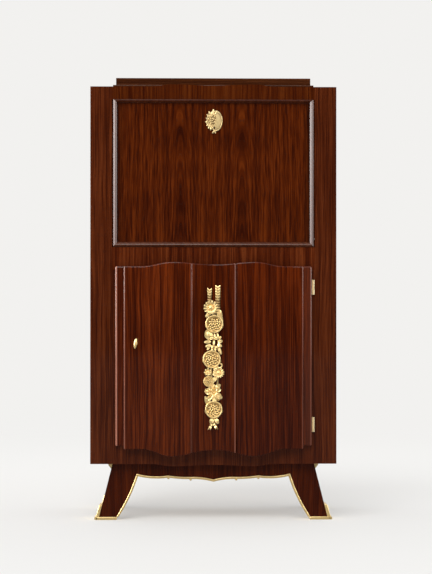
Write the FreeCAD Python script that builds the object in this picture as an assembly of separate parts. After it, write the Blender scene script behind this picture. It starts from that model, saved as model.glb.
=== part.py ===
import FreeCAD, Part
import math
import os
from FreeCAD import Placement, Rotation, Vector

# Bar cabinet with a fold-out shelf on splayed sabre legs.
# Millimetres, +Z up, the front faces -Y, the floor is at z = 0.

# Carcass
carcass_width = 840.0
carcass_depth = 400.0
base_height = 193.5
stile_width = 75.0
frame_thickness = 24.0
side_thickness = 20.0
board_thickness = 20.0
back_thickness = 10.0
back_inset = 2.0
edge_round = 2.0

# Heights of the front, stacked from the underside of the carcass
bottom_rail_height = 74.0
door_opening_height = 588.0
middle_rail_height = 77.0
flap_height = 499.0
top_rail_height = 44.5
rail_wave_rise = 8.0
rail_wave_dip = 3.5
rail_wave_run = 75.0
jamb_width = 25.0

# Stepped plinth on the top
plinth_side_setback = 86.5
plinth_rise = 35.5
plinth_setback = 26.0
plinth_step_height = 10.0
plinth_step_width = 10.0

# Clearances
flap_bottom_gap = 2.0
flap_top_gap = 1.5
flap_side_gap = 1.0
seat_gap = 0.3
swing_gap = 1.4
bore_clearance = 0.06
slide_clearance = 0.3

# Fold-out flap
bead_width = 16.0
bead_height = 12.0
bead_shoulder = 4.5
bead_foot = 1.5
panel_recess = 6.0
flap_core_thickness = 18.0
flap_lining_thickness = 4.0
flap_lining_margin = 14.0
flap_pivot_setback = 10.0
flap_pivot_rise = 26.0
pivot_pin_diameter = 6.0
pivot_pin_depth = 24.0
pivot_pin_reach = 12.0
bush_diameter = 11.0
stop_batten_height = 38.0
stop_batten_depth = 16.0

# Quadrant stays
stay_radius = 230.0
stay_width = 12.0
stay_thickness = 3.0
stay_inset = 20.5
stay_foot_length = 70.0
stay_foot_width = 17.0
stay_foot_thickness = 3.0
stay_stud_diameter = 6.0
stay_stud_length = 5.0
stay_tail = 4.0
guide_angle = 12.0
guide_thickness = 9.0
guide_wall = 6.0
open_angle = 90.0

# Flap lock
lock_width = 60.0
lock_height = 120.0
lock_thickness = 11.0
lock_bolt_width = 20.0
lock_bolt_thickness = 6.0
lock_bolt_length = 90.0
bolt_throw = 8.0
strike_thickness = 2.0
strike_border = 7.0
keyhole_drop = 98.0
keyhole_diameter = 4.0
keyhole_slot_width = 2.4
keyhole_slot_length = 8.0
escutcheon_width = 60.0
escutcheon_height = 84.0
escutcheon_thickness = 4.0
escutcheon_drop = 75.0
escutcheon_leaf_relief = 4.0

# Inside of the bar and the cupboard
lining_thickness = 14.0
lining_inset = 13.0
mirror_thickness = 4.0
mirror_margin = 1.0
glass_thickness = 6.0
glass_shelf_rise = 320.0
glass_shelf_depth = 240.0
ceiling_thickness = 16.0
cupboard_shelf_rise = 312.0
cupboard_shelf_thickness = 18.0
cupboard_shelf_setback = 44.0
shelf_end_gap = 1.0
shelf_pin_diameter = 6.0
shelf_pin_reach = 10.0
shelf_pin_depth = 9.0
shelf_pin_inset = 50.0

# Door, laid on the front of the frame
door_gap = 1.8
door_side_margin = 10.0
door_board_thickness = 14.2
door_board_round = 5.0
door_board_bottom_overlap = 12.0
door_board_top_overlap = 12.0
door_strip_width = 30.0
door_centre_width = 150.0
door_edge_relief = 11.0
door_hollow_relief = 9.5
door_crown_relief = 28.0
door_crease_relief = 23.0
door_centre_edge_relief = 29.0
door_centre_relief = 17.0
door_panel_round = 6.0
door_centre_round = 3.0
crown_inset = 65.0
flat_zone = 61.0
top_flat_drop = 1.0
top_crown_rise = 13.0
top_crease_rise = 9.0
top_centre_rise = 5.0
bottom_flat_drop = 10.0
bottom_crown_drop = 33.5
bottom_crease_drop = 22.0
bottom_centre_drop = 13.0

# Door hinges
hinge_length = 50.0
hinge_barrel = 7.4
hinge_pin = 3.6
hinge_leaf_thickness = 1.5
hinge_leaf_width = 30.0
hinge_edge_gap = 2.0
hinge_inset = 47.0
knuckle_gap = 0.4

# Door knob, lock and bolt
knob_edge_distance = 71.0
knob_height_on_door = 349.0
knob_length = 36.0
knob_diameter = 11.0
knob_tilt = 8.0
knob_reach = 30.0
knob_neck = 7.0
knob_rose_diameter = 12.0
knob_rose_proud = 2.5
spindle_diameter = 7.0
follower_diameter = 20.0
follower_thickness = 3.0
crank_diameter = 4.0
door_bolt_height = 12.0
door_bolt_thickness = 4.0
yoke_height = 26.0
yoke_margin = 6.0
case_wall = 2.0
case_length = 78.0

# Legs, aprons and gilt trim
base_setback = 26.0
leg_top_inset = 75.0
leg_foot_inset = 26.0
leg_top_width = 87.0
leg_foot_width = 63.0
arch_corner_depth = 44.5
leg_bow = 6.0
leg_top_depth = 90.0
leg_foot_depth = 62.0
rear_leg_top_width = 62.0
rear_leg_foot_width = 46.0
apron_thickness = 22.0
apron_outer_drop = 154.0
apron_inner_drop = 78.0
apron_outer_sag_depth = 52.0
apron_outer_drop_depth = 49.5
apron_middle_sag_depth = 53.5
apron_inner_drop_depth = 54.5
apron_inner_sag_depth = 56.0
apron_centre_depth = 63.5
side_apron_rise = 10.0
rear_apron_height = 45.0
trim_thickness = 7.5
trim_proud = 4.0
trim_depth = 18.0
side_trim_proud = 9.0
bracket_width = 15.0
bracket_height = 19.0
bracket_depth = 16.0
sole_height = 10.0
sole_proud = 14.0
sabot_plate_height = 51.0
sabot_plate_thickness = 11.0

# Gilt garland on the door
garland_length = 492.0
garland_drop = 65.0
garland_lift = 2.0
garland_stem = 5.0
rose_radius = 30.0
daisy_radius = 24.0
leaf_length = 33.0
ribbon_width = 18.0
ribbon_length = 100.0
ribbon_thickness = 5.0
ribbon_notch = 6.0
petal_height = 10.0
petal_tilt = 9.0
petal_fall = 0.03
boss_height = 15.0
boss_sides = 8

# Levels
opening_half = carcass_width / 2 - stile_width
side_inner = carcass_width / 2 - side_thickness
z_opening_bottom = base_height + bottom_rail_height
z_opening_top = z_opening_bottom + door_opening_height
z_middle_top = z_opening_top + middle_rail_height
z_flap_bottom = z_middle_top + flap_bottom_gap
z_flap_top = z_flap_bottom + flap_height
z_top_rail = z_flap_top + flap_top_gap
z_carcass_top = z_top_rail + top_rail_height

# Depths, measured from the face of the stiles and rails
door_front = door_gap + door_board_thickness
front_reach = door_front + door_hollow_relief + knob_reach
overall_depth = carcass_depth + front_reach
face = front_reach - overall_depth / 2
carcass_back = face + carcass_depth
back_front = carcass_back - back_inset - back_thickness
frame_back = face + frame_thickness

# Flap
flap_half = opening_half - flap_side_gap
panel_front = face + panel_recess
core_back = panel_front + flap_core_thickness
flap_back = core_back + flap_lining_thickness
pivot_y = face + flap_pivot_setback
pivot_z = z_flap_bottom + flap_pivot_rise
bar_floor_top = pivot_z + flap_back - pivot_y
bar_floor_bottom = bar_floor_top - board_thickness
bar_front = pivot_y + math.hypot(flap_back - pivot_y, flap_pivot_rise) + swing_gap
top_board_bottom = z_carcass_top - board_thickness
lining_face = opening_half - lining_inset

# Door
board_half = opening_half - door_side_margin
z_board_bottom = z_opening_bottom - door_board_bottom_overlap
z_board_top = z_opening_top + door_board_top_overlap
panel_half = board_half - door_strip_width
centre_half = door_centre_width / 2
crown_x = centre_half + crown_inset
flat_x = panel_half - flat_zone
jamb_face = opening_half - jamb_width
hinge_x = board_half + hinge_edge_gap + hinge_barrel / 2
hinge_y = face - seat_gap - hinge_barrel / 2
knob_x = -board_half + knob_edge_distance
knob_z = z_board_bottom + knob_height_on_door

# Legs
leg_top_outer = carcass_width / 2 - leg_top_inset
leg_foot_outer = carcass_width / 2 - leg_foot_inset
arch_half_width = leg_top_outer - leg_top_width
foot_inner = leg_foot_outer - leg_foot_width
arch_corner_height = base_height - arch_corner_depth
base_front = face + base_setback
base_back = back_front


def box(x0, x1, y0, y1, z0, z1):
    """Board between two corners."""
    return Part.makeBox(x1 - x0, y1 - y0, z1 - z0, Vector(x0, y0, z0))


def mirrored(shape):
    """The same piece on the other side of the cabinet."""
    return shape.mirror(Vector(0, 0, 0), Vector(1, 0, 0))


def line(start, end):
    """Straight edge."""
    return Part.LineSegment(start, end).toShape()


def arc(start, through, end):
    """Circular edge through three points."""
    return Part.Arc(start, through, end).toShape()


def quarter_bend(level, crest):
    """Arc that leaves a level point and ends at another, as three (x, height) points."""
    (x0, h0), (x1, h1) = level, crest
    run = x1 - x0
    rise = h1 - h0
    radius = (run ** 2 + rise ** 2) / (2 * rise)
    half = math.asin(run / radius) / 2
    return [level, (x0 + radius * math.sin(half), h0 + radius * (1 - math.cos(half))), crest]


def reverse_bend(low, high):
    """Two equal tangent arcs between two level points, each as three (x, height) points."""
    middle = ((low[0] + high[0]) / 2, (low[1] + high[1]) / 2)
    return [quarter_bend(low, middle), list(reversed(quarter_bend(high, middle)))]


def solid_between(edges, direction):
    """Closed outline extruded along a direction."""
    return Part.Face(Part.Wire(Part.__sortEdges__(edges))).extrude(direction)


def polygon_solid(points, direction):
    """Straight-sided outline extruded along a direction."""
    return Part.Face(Part.makePolygon(points + points[:1])).extrude(direction)


def rounded(shape, radius, wanted):
    """Fillet on the edges whose middle passes a test."""
    edges = [edge for edge in shape.Edges if wanted(edge.BoundBox)]
    return shape.makeFillet(radius, edges)


def cylinder(diameter, start, direction, length):
    """Round bar from a point along a direction."""
    return Part.makeCylinder(diameter / 2, length, start, direction)


def front_points(pairs, y):
    """Points of the front view, as (x, z), on the plane y."""
    return [Vector(x, y, z) for x, z in pairs]


# Carcass boards

def side_panel():
    panel = box(side_inner, carcass_width / 2, frame_back, carcass_back, base_height, z_carcass_top)
    return rounded(panel, edge_round, lambda b: b.YLength > carcass_depth / 2
                   and b.XMin > side_inner and b.ZMin > base_height)


def stile():
    post = box(opening_half, carcass_width / 2, face, frame_back, base_height, z_carcass_top)
    return rounded(post, edge_round, lambda b: b.XMin > opening_half and b.YMax < frame_back)


def shaped_rail(straight_z, flat, crown, centre):
    """Rail with one straight edge and one waved edge: level ends, two low crowns and a level centre."""
    wave_end = crown_x + rail_wave_run
    runs = reverse_bend((wave_end, flat), (crown_x, crown)) + reverse_bend((crown_x, crown), (0.0, centre))
    edges = []
    for run in runs:
        edges.append(arc(*front_points(run, face)))
        edges.append(arc(*front_points([(-x, z) for x, z in run], face)))
    for side in (-1, 1):
        corner = Vector(side * opening_half, face, flat)
        edges.append(line(corner, Vector(side * wave_end, face, flat)))
        edges.append(line(corner, Vector(side * opening_half, face, straight_z)))
    edges.append(line(Vector(-opening_half, face, straight_z), Vector(opening_half, face, straight_z)))
    return solid_between(edges, Vector(0, frame_thickness, 0))


def top_rail():
    rail = shaped_rail(z_top_rail, z_carcass_top, z_carcass_top + rail_wave_rise,
                       z_carcass_top + rail_wave_dip)
    return rail.cut(flap_strike_plate()).cut(flap_bolt_way())


def bottom_rail():
    return shaped_rail(z_opening_bottom, base_height, base_height - rail_wave_rise,
                       base_height - rail_wave_dip)


def jamb():
    return box(jamb_face, opening_half, face, frame_back, z_opening_bottom, z_opening_top)


def bar_floor():
    floor = box(-side_inner, side_inner, bar_front, back_front, bar_floor_bottom, bar_floor_top)
    return floor.cut(stay_slot()).cut(mirrored(stay_slot()))


def bar_lining():
    return box(lining_face, lining_face + lining_thickness, bar_front, back_front,
               bar_floor_top, top_board_bottom)


def plinth():
    """Low box on the top with a thin step at its foot."""
    half = carcass_width / 2 - plinth_side_setback
    front = face + plinth_setback + plinth_step_width
    back = carcass_back - plinth_setback
    top = box(-half, half, front, back, z_carcass_top, z_carcass_top + plinth_rise)
    top = rounded(top, edge_round, lambda b: b.ZMin > z_carcass_top)
    step = box(-half - plinth_step_width, half + plinth_step_width, front - plinth_step_width, back,
               z_carcass_top, z_carcass_top + plinth_step_height)
    step = rounded(step, edge_round, lambda b: b.ZMin > z_carcass_top and b.YMax < back)
    return top.fuse(step).removeSplitter()


def flap_stop():
    front = flap_back + seat_gap
    return box(-lining_face, lining_face, front, front + stop_batten_depth,
               top_board_bottom - stop_batten_height, top_board_bottom)


# Shelves

def shelf_pins():
    """Eight brass pins, four under each shelf."""
    glass_back = back_front - mirror_thickness - shelf_end_gap
    glass_z = bar_floor_top + glass_shelf_rise - shelf_pin_diameter / 2
    wood_back = back_front - shelf_end_gap
    wood_front = face + cupboard_shelf_setback
    wood_z = z_opening_bottom + cupboard_shelf_rise - shelf_pin_diameter / 2
    seats = [(lining_face, glass_back - glass_shelf_depth, glass_back, glass_z),
             (side_inner, wood_front, wood_back, wood_z)]
    pins = []
    for wall, front, back, z in seats:
        for y in (front + shelf_pin_inset, back - shelf_pin_inset):
            start = Vector(wall - shelf_pin_reach, y, z)
            pin = cylinder(shelf_pin_diameter, start, Vector(1, 0, 0), shelf_pin_reach + shelf_pin_depth)
            pins += [pin, mirrored(pin)]
    return pins


def glass_shelf():
    back = back_front - mirror_thickness - shelf_end_gap
    half = lining_face - shelf_end_gap
    bottom = bar_floor_top + glass_shelf_rise
    shelf = box(-half, half, back - glass_shelf_depth, back, bottom, bottom + glass_thickness)
    return rounded(shelf, edge_round / 2, lambda b: b.XLength > half and b.YMax < back)


def cupboard_shelf():
    half = side_inner - shelf_end_gap
    bottom = z_opening_bottom + cupboard_shelf_rise
    return box(-half, half, face + cupboard_shelf_setback, back_front - shelf_end_gap,
               bottom, bottom + cupboard_shelf_thickness)


def bar_mirror():
    half = lining_face - mirror_margin
    return box(-half, half, back_front - mirror_thickness, back_front,
               bar_floor_top, top_board_bottom - mirror_margin)


# Flap

def bead_bar(length, place):
    """Straight bead with mitred ends, built along +X with its outer edge on z = 0."""
    back = Vector(0, panel_front, 0)
    shoulder = Vector(0, panel_front - bead_shoulder, 0)
    crest = Vector(0, panel_front - bead_height, bead_width * 0.45)
    foot = Vector(0, panel_front - bead_foot, bead_width)
    inner = Vector(0, panel_front, bead_width)
    section = [line(back, shoulder), arc(shoulder, crest, foot), line(foot, inner), line(inner, back)]
    bar = solid_between(section, Vector(length, 0, 0))
    reach = bead_width * 2
    wedge = [Vector(-reach, panel_front - reach, -reach), Vector(reach, panel_front - reach, reach),
             Vector(-reach, panel_front - reach, reach)]
    left = polygon_solid(wedge, Vector(0, 2 * reach, 0))
    right = left.mirror(Vector(length / 2, 0, 0), Vector(1, 0, 0))
    bar = bar.cut(left).cut(right)
    bar.Placement = place.multiply(bar.Placement)
    return bar


def flap_beads():
    """Four mitred beads round the edge of the flap, by name."""
    width = 2 * flap_half
    centre = Vector(0, 0, z_flap_bottom + flap_height / 2)
    turns = {"flap_bottom_bead": (0, width), "flap_right_bead": (-90, flap_height),
             "flap_top_bead": (180, width), "flap_left_bead": (90, flap_height)}
    beads = {}
    for name, (angle, length) in turns.items():
        spin = Rotation(Vector(0, 1, 0), angle)
        reach = flap_height / 2 if angle in (0, 180) else flap_half
        place = Placement(centre, spin).multiply(Placement(Vector(-length / 2, 0, -reach), Rotation()))
        beads[name] = bead_bar(length, place)
    return beads


def pivot_pin():
    start = Vector(flap_half - pivot_pin_depth, pivot_y, pivot_z)
    return cylinder(pivot_pin_diameter, start, Vector(1, 0, 0),
                    pivot_pin_depth + flap_side_gap + pivot_pin_reach)


def pivot_bush():
    start = Vector(opening_half, pivot_y, pivot_z)
    length = pivot_pin_reach + edge_round
    body = cylinder(bush_diameter, start, Vector(1, 0, 0), length)
    bore = cylinder(pivot_pin_diameter + 2 * bore_clearance, start, Vector(1, 0, 0),
                    pivot_pin_reach + seat_gap)
    return body.cut(bore)


def bush_hole():
    start = Vector(opening_half, pivot_y, pivot_z)
    return cylinder(bush_diameter, start, Vector(1, 0, 0), pivot_pin_reach + edge_round)


def lock_pocket():
    """Mortise for the flap lock, open at the top edge of the core."""
    middle = (panel_front + core_back) / 2
    return box(-lock_width / 2, lock_width / 2, middle - lock_thickness / 2, middle + lock_thickness / 2,
               z_flap_top - lock_height, z_flap_top)


def lock_bolt(lift, clearance):
    """Bolt of the flap lock, raised and grown for the channel that it slides in."""
    middle = (panel_front + core_back) / 2
    half = lock_bolt_width / 2 + clearance
    depth = lock_bolt_thickness / 2 + clearance
    return box(-half, half, middle - depth, middle + depth,
               z_flap_top - lock_bolt_length - clearance, z_flap_top + lift)


def flap_lock_case():
    return lock_pocket().cut(lock_bolt(seat_gap, slide_clearance)).cut(keyhole())


def keyhole():
    """Round hole with a slot below it, right through the front of the flap."""
    top = Vector(0, panel_front - bead_height, z_flap_top - keyhole_drop)
    middle = (panel_front + core_back) / 2
    reach = middle - lock_bolt_thickness / 2 - slide_clearance - top.y
    hole = cylinder(keyhole_diameter, top, Vector(0, 1, 0), reach)
    slot = box(-keyhole_slot_width / 2, keyhole_slot_width / 2, top.y, top.y + reach,
               top.z - keyhole_slot_length, top.z)
    return hole.fuse(slot)


def flap_panel():
    core = box(-flap_half, flap_half, panel_front, core_back, z_flap_bottom, z_flap_top)
    pins = pivot_pin()
    return core.cut(lock_pocket()).cut(keyhole()).cut(pins).cut(mirrored(pins))


def flap_lining():
    margin = flap_lining_margin
    return box(-flap_half + margin, flap_half - margin, core_back, flap_back,
               z_flap_bottom, z_flap_top - margin)


def flap_strike_plate():
    middle = (panel_front + core_back) / 2
    half = lock_bolt_width / 2 + strike_border
    return box(-half, half, middle - lock_thickness / 2, middle + lock_thickness / 2,
               z_top_rail, z_top_rail + strike_thickness)


def flap_bolt_way():
    """Space that the flap's bolt needs in the top rail when it is thrown."""
    return lock_bolt(bolt_throw + flap_top_gap + seat_gap, slide_clearance)


# Quadrant stays

def stay_point(radius, angle, x):
    """Point of the quadrant, at an angle back from straight up over the pivot."""
    turn = math.radians(angle)
    return Vector(x, pivot_y + radius * math.sin(turn), pivot_z + radius * math.cos(turn))


def stay_start():
    """Angle at which the quadrant leaves the inner face of the flap."""
    return math.degrees(math.asin((flap_back - pivot_y) / (stay_radius - stay_width / 2)))


def stud_angle():
    """Angle of the stop stud with the flap shut: it meets the guide when the flap is open."""
    along = guide_thickness / 2 + stay_stud_diameter / 2 + seat_gap
    return guide_angle + open_angle + math.degrees(along / stay_radius)


def quadrant_sector(start, end, width, x0, x1):
    """Flat curved bar about the flap's pivot."""
    inner = stay_radius - width / 2
    outer = stay_radius + width / 2
    corners = [stay_point(inner, start, x0), stay_point(outer, start, x0),
               stay_point(outer, start, x1), stay_point(inner, start, x1)]
    section = Part.Face(Part.makePolygon(corners + corners[:1]))
    return section.revolve(Vector(0, pivot_y, pivot_z), Vector(-1, 0, 0), end - start)


def stay():
    """Quadrant with its foot on the flap and a stop stud near its tail."""
    outer_x = flap_half - stay_inset
    inner_x = outer_x - stay_thickness
    tail = stud_angle() + math.degrees((stay_stud_diameter / 2 + stay_tail) / stay_radius)
    bar = quadrant_sector(stay_start(), tail, stay_width, inner_x, outer_x)
    root = stay_point(stay_radius, stay_start(), inner_x)
    foot = box(outer_x - stay_foot_width, outer_x, flap_back, flap_back + stay_foot_thickness,
               root.z - stay_foot_length / 2, root.z + stay_foot_length / 2)
    stud_start = stay_point(stay_radius, stud_angle(), inner_x - stay_stud_length)
    stud = cylinder(stay_stud_diameter, stud_start, Vector(1, 0, 0), stay_stud_length)
    return bar.fuse([foot, stud]).removeSplitter()


def stay_slot():
    """Slot in the bar floor for the tail of the quadrant and its stud."""
    outer_x = flap_half - stay_inset + swing_gap
    inner_x = flap_half - stay_inset - stay_thickness - stay_stud_length - swing_gap
    near = stay_radius - stay_width / 2 - 2 * swing_gap
    far = stay_radius + stay_width / 2 + swing_gap
    near_y = math.sqrt(near ** 2 - (bar_floor_top - pivot_z) ** 2)
    return box(inner_x, outer_x, pivot_y + near_y, pivot_y + far, bar_floor_bottom, bar_floor_top)


def stay_guide():
    """Slotted block on the bar's lining that the quadrant runs through."""
    middle = stay_point(stay_radius, guide_angle, 0)
    inner_x = flap_half - stay_inset - stay_thickness - guide_wall
    radial = stay_width / 2 + slide_clearance + guide_wall
    block = box(inner_x, lining_face, -guide_thickness / 2, guide_thickness / 2, -radial, radial)
    block = rounded(block, edge_round, lambda b: b.XMax < lining_face and b.YLength > guide_wall)
    turned = Placement(middle, Rotation(Vector(-1, 0, 0), guide_angle))
    block.Placement = turned
    spread = math.degrees(guide_thickness / stay_radius)
    slot = quadrant_sector(guide_angle - spread, guide_angle + spread, stay_width + 2 * slide_clearance,
                           flap_half - stay_inset - stay_thickness - slide_clearance,
                           flap_half - stay_inset + slide_clearance)
    return block.cut(slot)


# Door

def proud(distance):
    """Depth of a surface that stands out from the front of the door's base board."""
    return face - door_front - distance


def door_board():
    board = box(-board_half, board_half, face - door_front, face - door_gap, z_board_bottom, z_board_top)
    return rounded(board, door_board_round, lambda b: b.ZLength > door_opening_height / 2
                   and b.YMax < face - door_gap)


def panel_edge(base, flat, crown, crease):
    """Upper or lower edge of the right panel: level, then over a crown to the crease, as arcs."""
    level = (flat_x, base + flat)
    top = (crown_x, base + crown)
    return reverse_bend(level, top) + [quarter_bend(top, (centre_half, base + crease))]


def panel_plan():
    """Front of the right panel in plan: hollow by its outer edge, full towards the crease, as arcs."""
    hollow = (panel_half - flat_zone / 2, door_hollow_relief)
    rim = (panel_half - door_panel_round, door_edge_relief)
    crown = (crown_x, door_crown_relief)
    crease = (centre_half, door_crease_relief)
    return [quarter_bend(hollow, rim)] + reverse_bend(hollow, crown) + [quarter_bend(crown, crease)]


def plan_points(pairs):
    """Points of a plan, as (x, relief), under the lowest edge of the door's panels."""
    low = z_board_bottom - 2 * bottom_crown_drop
    return [Vector(x, proud(out), low) for x, out in pairs]


def shaped_panel(plan_edges, elevation_edges):
    """Panel shaped both in plan and in elevation."""
    low = z_board_bottom - 2 * bottom_crown_drop
    plan = solid_between(plan_edges, Vector(0, 0, z_board_top + 2 * top_crown_rise - low))
    elevation = solid_between(elevation_edges, Vector(0, -2 * front_reach, 0))
    return plan.common(elevation)


def door_side_panel():
    rounding = door_panel_round * (1 - math.sqrt(0.5))
    side = (panel_half, door_edge_relief - door_panel_round)
    corner = [side, (panel_half - rounding, door_edge_relief - rounding),
              (panel_half - door_panel_round, door_edge_relief)]
    plan = [arc(*plan_points(run)) for run in panel_plan() + [corner]]
    ends = plan_points([(centre_half, door_crease_relief), (centre_half, 0), (panel_half, 0), side])
    plan += [line(a, b) for a, b in zip(ends, ends[1:])]
    upper = panel_edge(z_board_top, -top_flat_drop, top_crown_rise, top_crease_rise)
    lower = panel_edge(z_board_bottom, -bottom_flat_drop, -bottom_crown_drop, -bottom_crease_drop)
    elevation = [arc(*front_points(run, face)) for run in upper + lower]
    top = z_board_top - top_flat_drop
    bottom = z_board_bottom - bottom_flat_drop
    rim = front_points([(flat_x, top), (panel_half, top), (panel_half, bottom), (flat_x, bottom)], face)
    elevation += [line(a, b) for a, b in zip(rim, rim[1:])]
    elevation.append(line(*front_points([upper[-1][-1], lower[-1][-1]], face)))
    return shaped_panel(plan, elevation)


def door_centre_panel():
    low = z_board_bottom - 2 * bottom_crown_drop
    right = Vector(centre_half, proud(door_centre_edge_relief), low)
    middle = Vector(0, proud(door_centre_relief), low)
    left = Vector(-centre_half, proud(door_centre_edge_relief), low)
    back_right = Vector(centre_half, proud(0), low)
    back_left = Vector(-centre_half, proud(0), low)
    plan_edges = [arc(right, middle, left), line(left, back_left), line(back_left, back_right),
                  line(back_right, right)]
    top = z_board_top
    bottom = z_board_bottom
    upper = front_points([(centre_half, top + top_crease_rise), (0.0, top + top_centre_rise),
                          (-centre_half, top + top_crease_rise)], face)
    lower = front_points([(centre_half, bottom - bottom_crease_drop), (0.0, bottom - bottom_centre_drop),
                          (-centre_half, bottom - bottom_crease_drop)], face)
    elevation = [arc(*upper), line(upper[-1], lower[-1]), arc(*lower), line(lower[0], upper[0])]
    panel = shaped_panel(plan_edges, elevation)
    return rounded(panel, door_centre_round, lambda b: b.ZLength > door_opening_height / 2
                   and b.YMax < proud(door_centre_relief))


# Hinges

def hinge_levels():
    """Middle heights of the two hinges."""
    return [z_board_bottom + hinge_inset + hinge_length / 2,
            z_board_top - hinge_inset - hinge_length / 2]


def knuckle(z_low, z_high):
    return cylinder(hinge_barrel, Vector(hinge_x, hinge_y, z_low), Vector(0, 0, 1), z_high - z_low)


def frame_hinges():
    """Leaves on the frame with their outer knuckles and pins."""
    hinges = []
    for middle in hinge_levels():
        low = middle - hinge_length / 2
        high = middle + hinge_length / 2
        third = hinge_length / 3
        leaf = box(hinge_x - hinge_leaf_width, hinge_x, face - hinge_leaf_thickness, face, low, high)
        relief = cylinder(hinge_barrel + 4 * seat_gap, Vector(hinge_x, hinge_y, low + third),
                          Vector(0, 0, 1), third)
        web = box(hinge_x - hinge_leaf_thickness, hinge_x, hinge_y, face, low, high)
        pin = cylinder(hinge_pin, Vector(hinge_x, hinge_y, low), Vector(0, 0, 1), hinge_length)
        hinge = leaf.fuse(web).cut(relief)
        hinge = hinge.fuse([knuckle(low, low + third), knuckle(high - third, high), pin])
        hinges.append(hinge.removeSplitter())
    return hinges


def door_hinges():
    """Leaves on the edge of the door with their middle knuckles."""
    hinges = []
    for middle in hinge_levels():
        third = hinge_length / 3
        low = middle - third / 2 + knuckle_gap
        high = middle + third / 2 - knuckle_gap
        plate = box(board_half, board_half + hinge_leaf_thickness, face - door_front + door_board_round,
                    face - door_gap, middle - hinge_length / 2, middle + hinge_length / 2)
        web = box(board_half, hinge_x, hinge_y - hinge_leaf_thickness, hinge_y, low, high)
        bore = cylinder(hinge_pin + 2 * bore_clearance, Vector(hinge_x, hinge_y, low), Vector(0, 0, 1),
                        high - low)
        hinge = plate.fuse([web, knuckle(low, high)]).cut(bore)
        hinges.append(hinge.removeSplitter())
    return hinges


# Door lock

def crank_radius():
    """Throw of the crank that moves the bolt by its full travel in a quarter turn."""
    return bolt_throw / math.sqrt(2)


def lock_depths():
    """Depths of the follower and the bolt behind the door's back."""
    follower_front = face - door_gap + case_wall + seat_gap
    follower_back = follower_front + follower_thickness
    bolt_front = follower_back + seat_gap
    bolt_back = bolt_front + door_bolt_thickness
    return follower_front, follower_back, bolt_front, bolt_back


def case_left():
    """Nose end of the lock case, just inside the jamb."""
    return -jamb_face + 2 * swing_gap


def door_bolt():
    """Bolt with a slotted yoke that the crank moves in."""
    _, _, bolt_front, bolt_back = lock_depths()
    slot_half = crank_diameter / 2 + 2 * slide_clearance
    middle = knob_x + crank_radius() * math.sin(math.radians(45))
    yoke_half = slot_half + yoke_margin
    nose = box(case_left(), middle, bolt_front, bolt_back,
               knob_z - door_bolt_height / 2, knob_z + door_bolt_height / 2)
    yoke = box(middle - yoke_half, middle + yoke_half, bolt_front, bolt_back,
               knob_z - yoke_height / 2, knob_z + yoke_height / 2)
    slot_reach = crank_radius() + crank_diameter / 2 + slide_clearance
    slot = box(middle - slot_half, middle + slot_half, bolt_front, bolt_back,
               knob_z - slot_reach, knob_z + slot_reach)
    return nose.fuse(yoke).removeSplitter().cut(slot)


def bolt_way(travel, clearance):
    """Space that the bolt needs over its travel."""
    _, _, bolt_front, bolt_back = lock_depths()
    half = door_bolt_height / 2 + clearance
    return box(case_left() - travel, knob_x, bolt_front - clearance, bolt_back + clearance,
               knob_z - half, knob_z + half)


def door_lock_case():
    """Case behind the door: a closed box with a nose hole and a spindle hole."""
    follower_front, _, _, bolt_back = lock_depths()
    half = yoke_height / 2 + slide_clearance + case_wall
    left = case_left()
    back = bolt_back + slide_clearance + case_wall
    body = box(left, left + case_length, face - door_gap, back, knob_z - half, knob_z + half)
    room = box(left + case_wall, left + case_length - case_wall, follower_front - seat_gap,
               bolt_back + slide_clearance, knob_z - half + case_wall, knob_z + half - case_wall)
    spindle = cylinder(spindle_diameter + 2 * bore_clearance, Vector(knob_x, face - door_gap, knob_z),
                       Vector(0, 1, 0), case_wall + seat_gap)
    return body.cut(room).cut(spindle).cut(bolt_way(bolt_throw, slide_clearance))


def knob_front():
    """Depth of the front of the knob."""
    return face - front_reach


def door_knob():
    """Olive knob on a neck, with its spindle, follower and crank."""
    follower_front, follower_back, _, bolt_back = lock_depths()
    radius = knob_diameter / 2
    half = knob_length / 2
    olive = boss([(radius * 0.5, -half), (radius, -half * 0.25), (radius, half * 0.25), (radius * 0.5, half)])
    centre = Vector(knob_x, knob_front() + radius, knob_z)
    olive.Placement = Placement(centre, Rotation(Vector(0, 1, 0), knob_tilt))
    neck_end = face - door_gap
    neck = cylinder(knob_neck, centre, Vector(0, 1, 0), neck_end - centre.y)
    spindle = cylinder(spindle_diameter, Vector(knob_x, neck_end, knob_z), Vector(0, 1, 0),
                       follower_front - neck_end)
    follower = cylinder(follower_diameter, Vector(knob_x, follower_front, knob_z), Vector(0, 1, 0),
                        follower_thickness)
    lean = math.radians(45)
    crank = Vector(knob_x + crank_radius() * math.sin(lean), follower_back,
                   knob_z + crank_radius() * math.cos(lean))
    pin = cylinder(crank_diameter, crank, Vector(0, 1, 0), bolt_back - follower_back)
    return olive.fuse([neck, spindle, follower, pin]).removeSplitter()


def knob_hole(diameter):
    start = Vector(knob_x, face - 2 * front_reach, knob_z)
    return cylinder(diameter, start, Vector(0, 1, 0), 2 * front_reach)


def knob_rose(clearance):
    """Collar that carries the neck of the knob, let into the panel."""
    start = Vector(knob_x, proud(door_hollow_relief + knob_rose_proud), knob_z)
    return cylinder(knob_rose_diameter + 2 * clearance, start, Vector(0, 1, 0), 2 * knob_rose_proud)


def door_strike_plate():
    _, _, bolt_front, bolt_back = lock_depths()
    half = door_bolt_height / 2 + strike_border
    return box(-jamb_face - strike_thickness, -jamb_face, bolt_front - strike_border / 2,
               bolt_back + strike_border / 2, knob_z - half, knob_z + half)


# Gilt ornament

def faceted(faces):
    """Solid closed by flat faces, each given as a ring of points."""
    shell = Part.makeShell([Part.Face(Part.makePolygon(ring + ring[:1])) for ring in faces])
    solid = Part.makeSolid(shell)
    if solid.Volume < 0:
        solid.reverse()
    return solid


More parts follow.
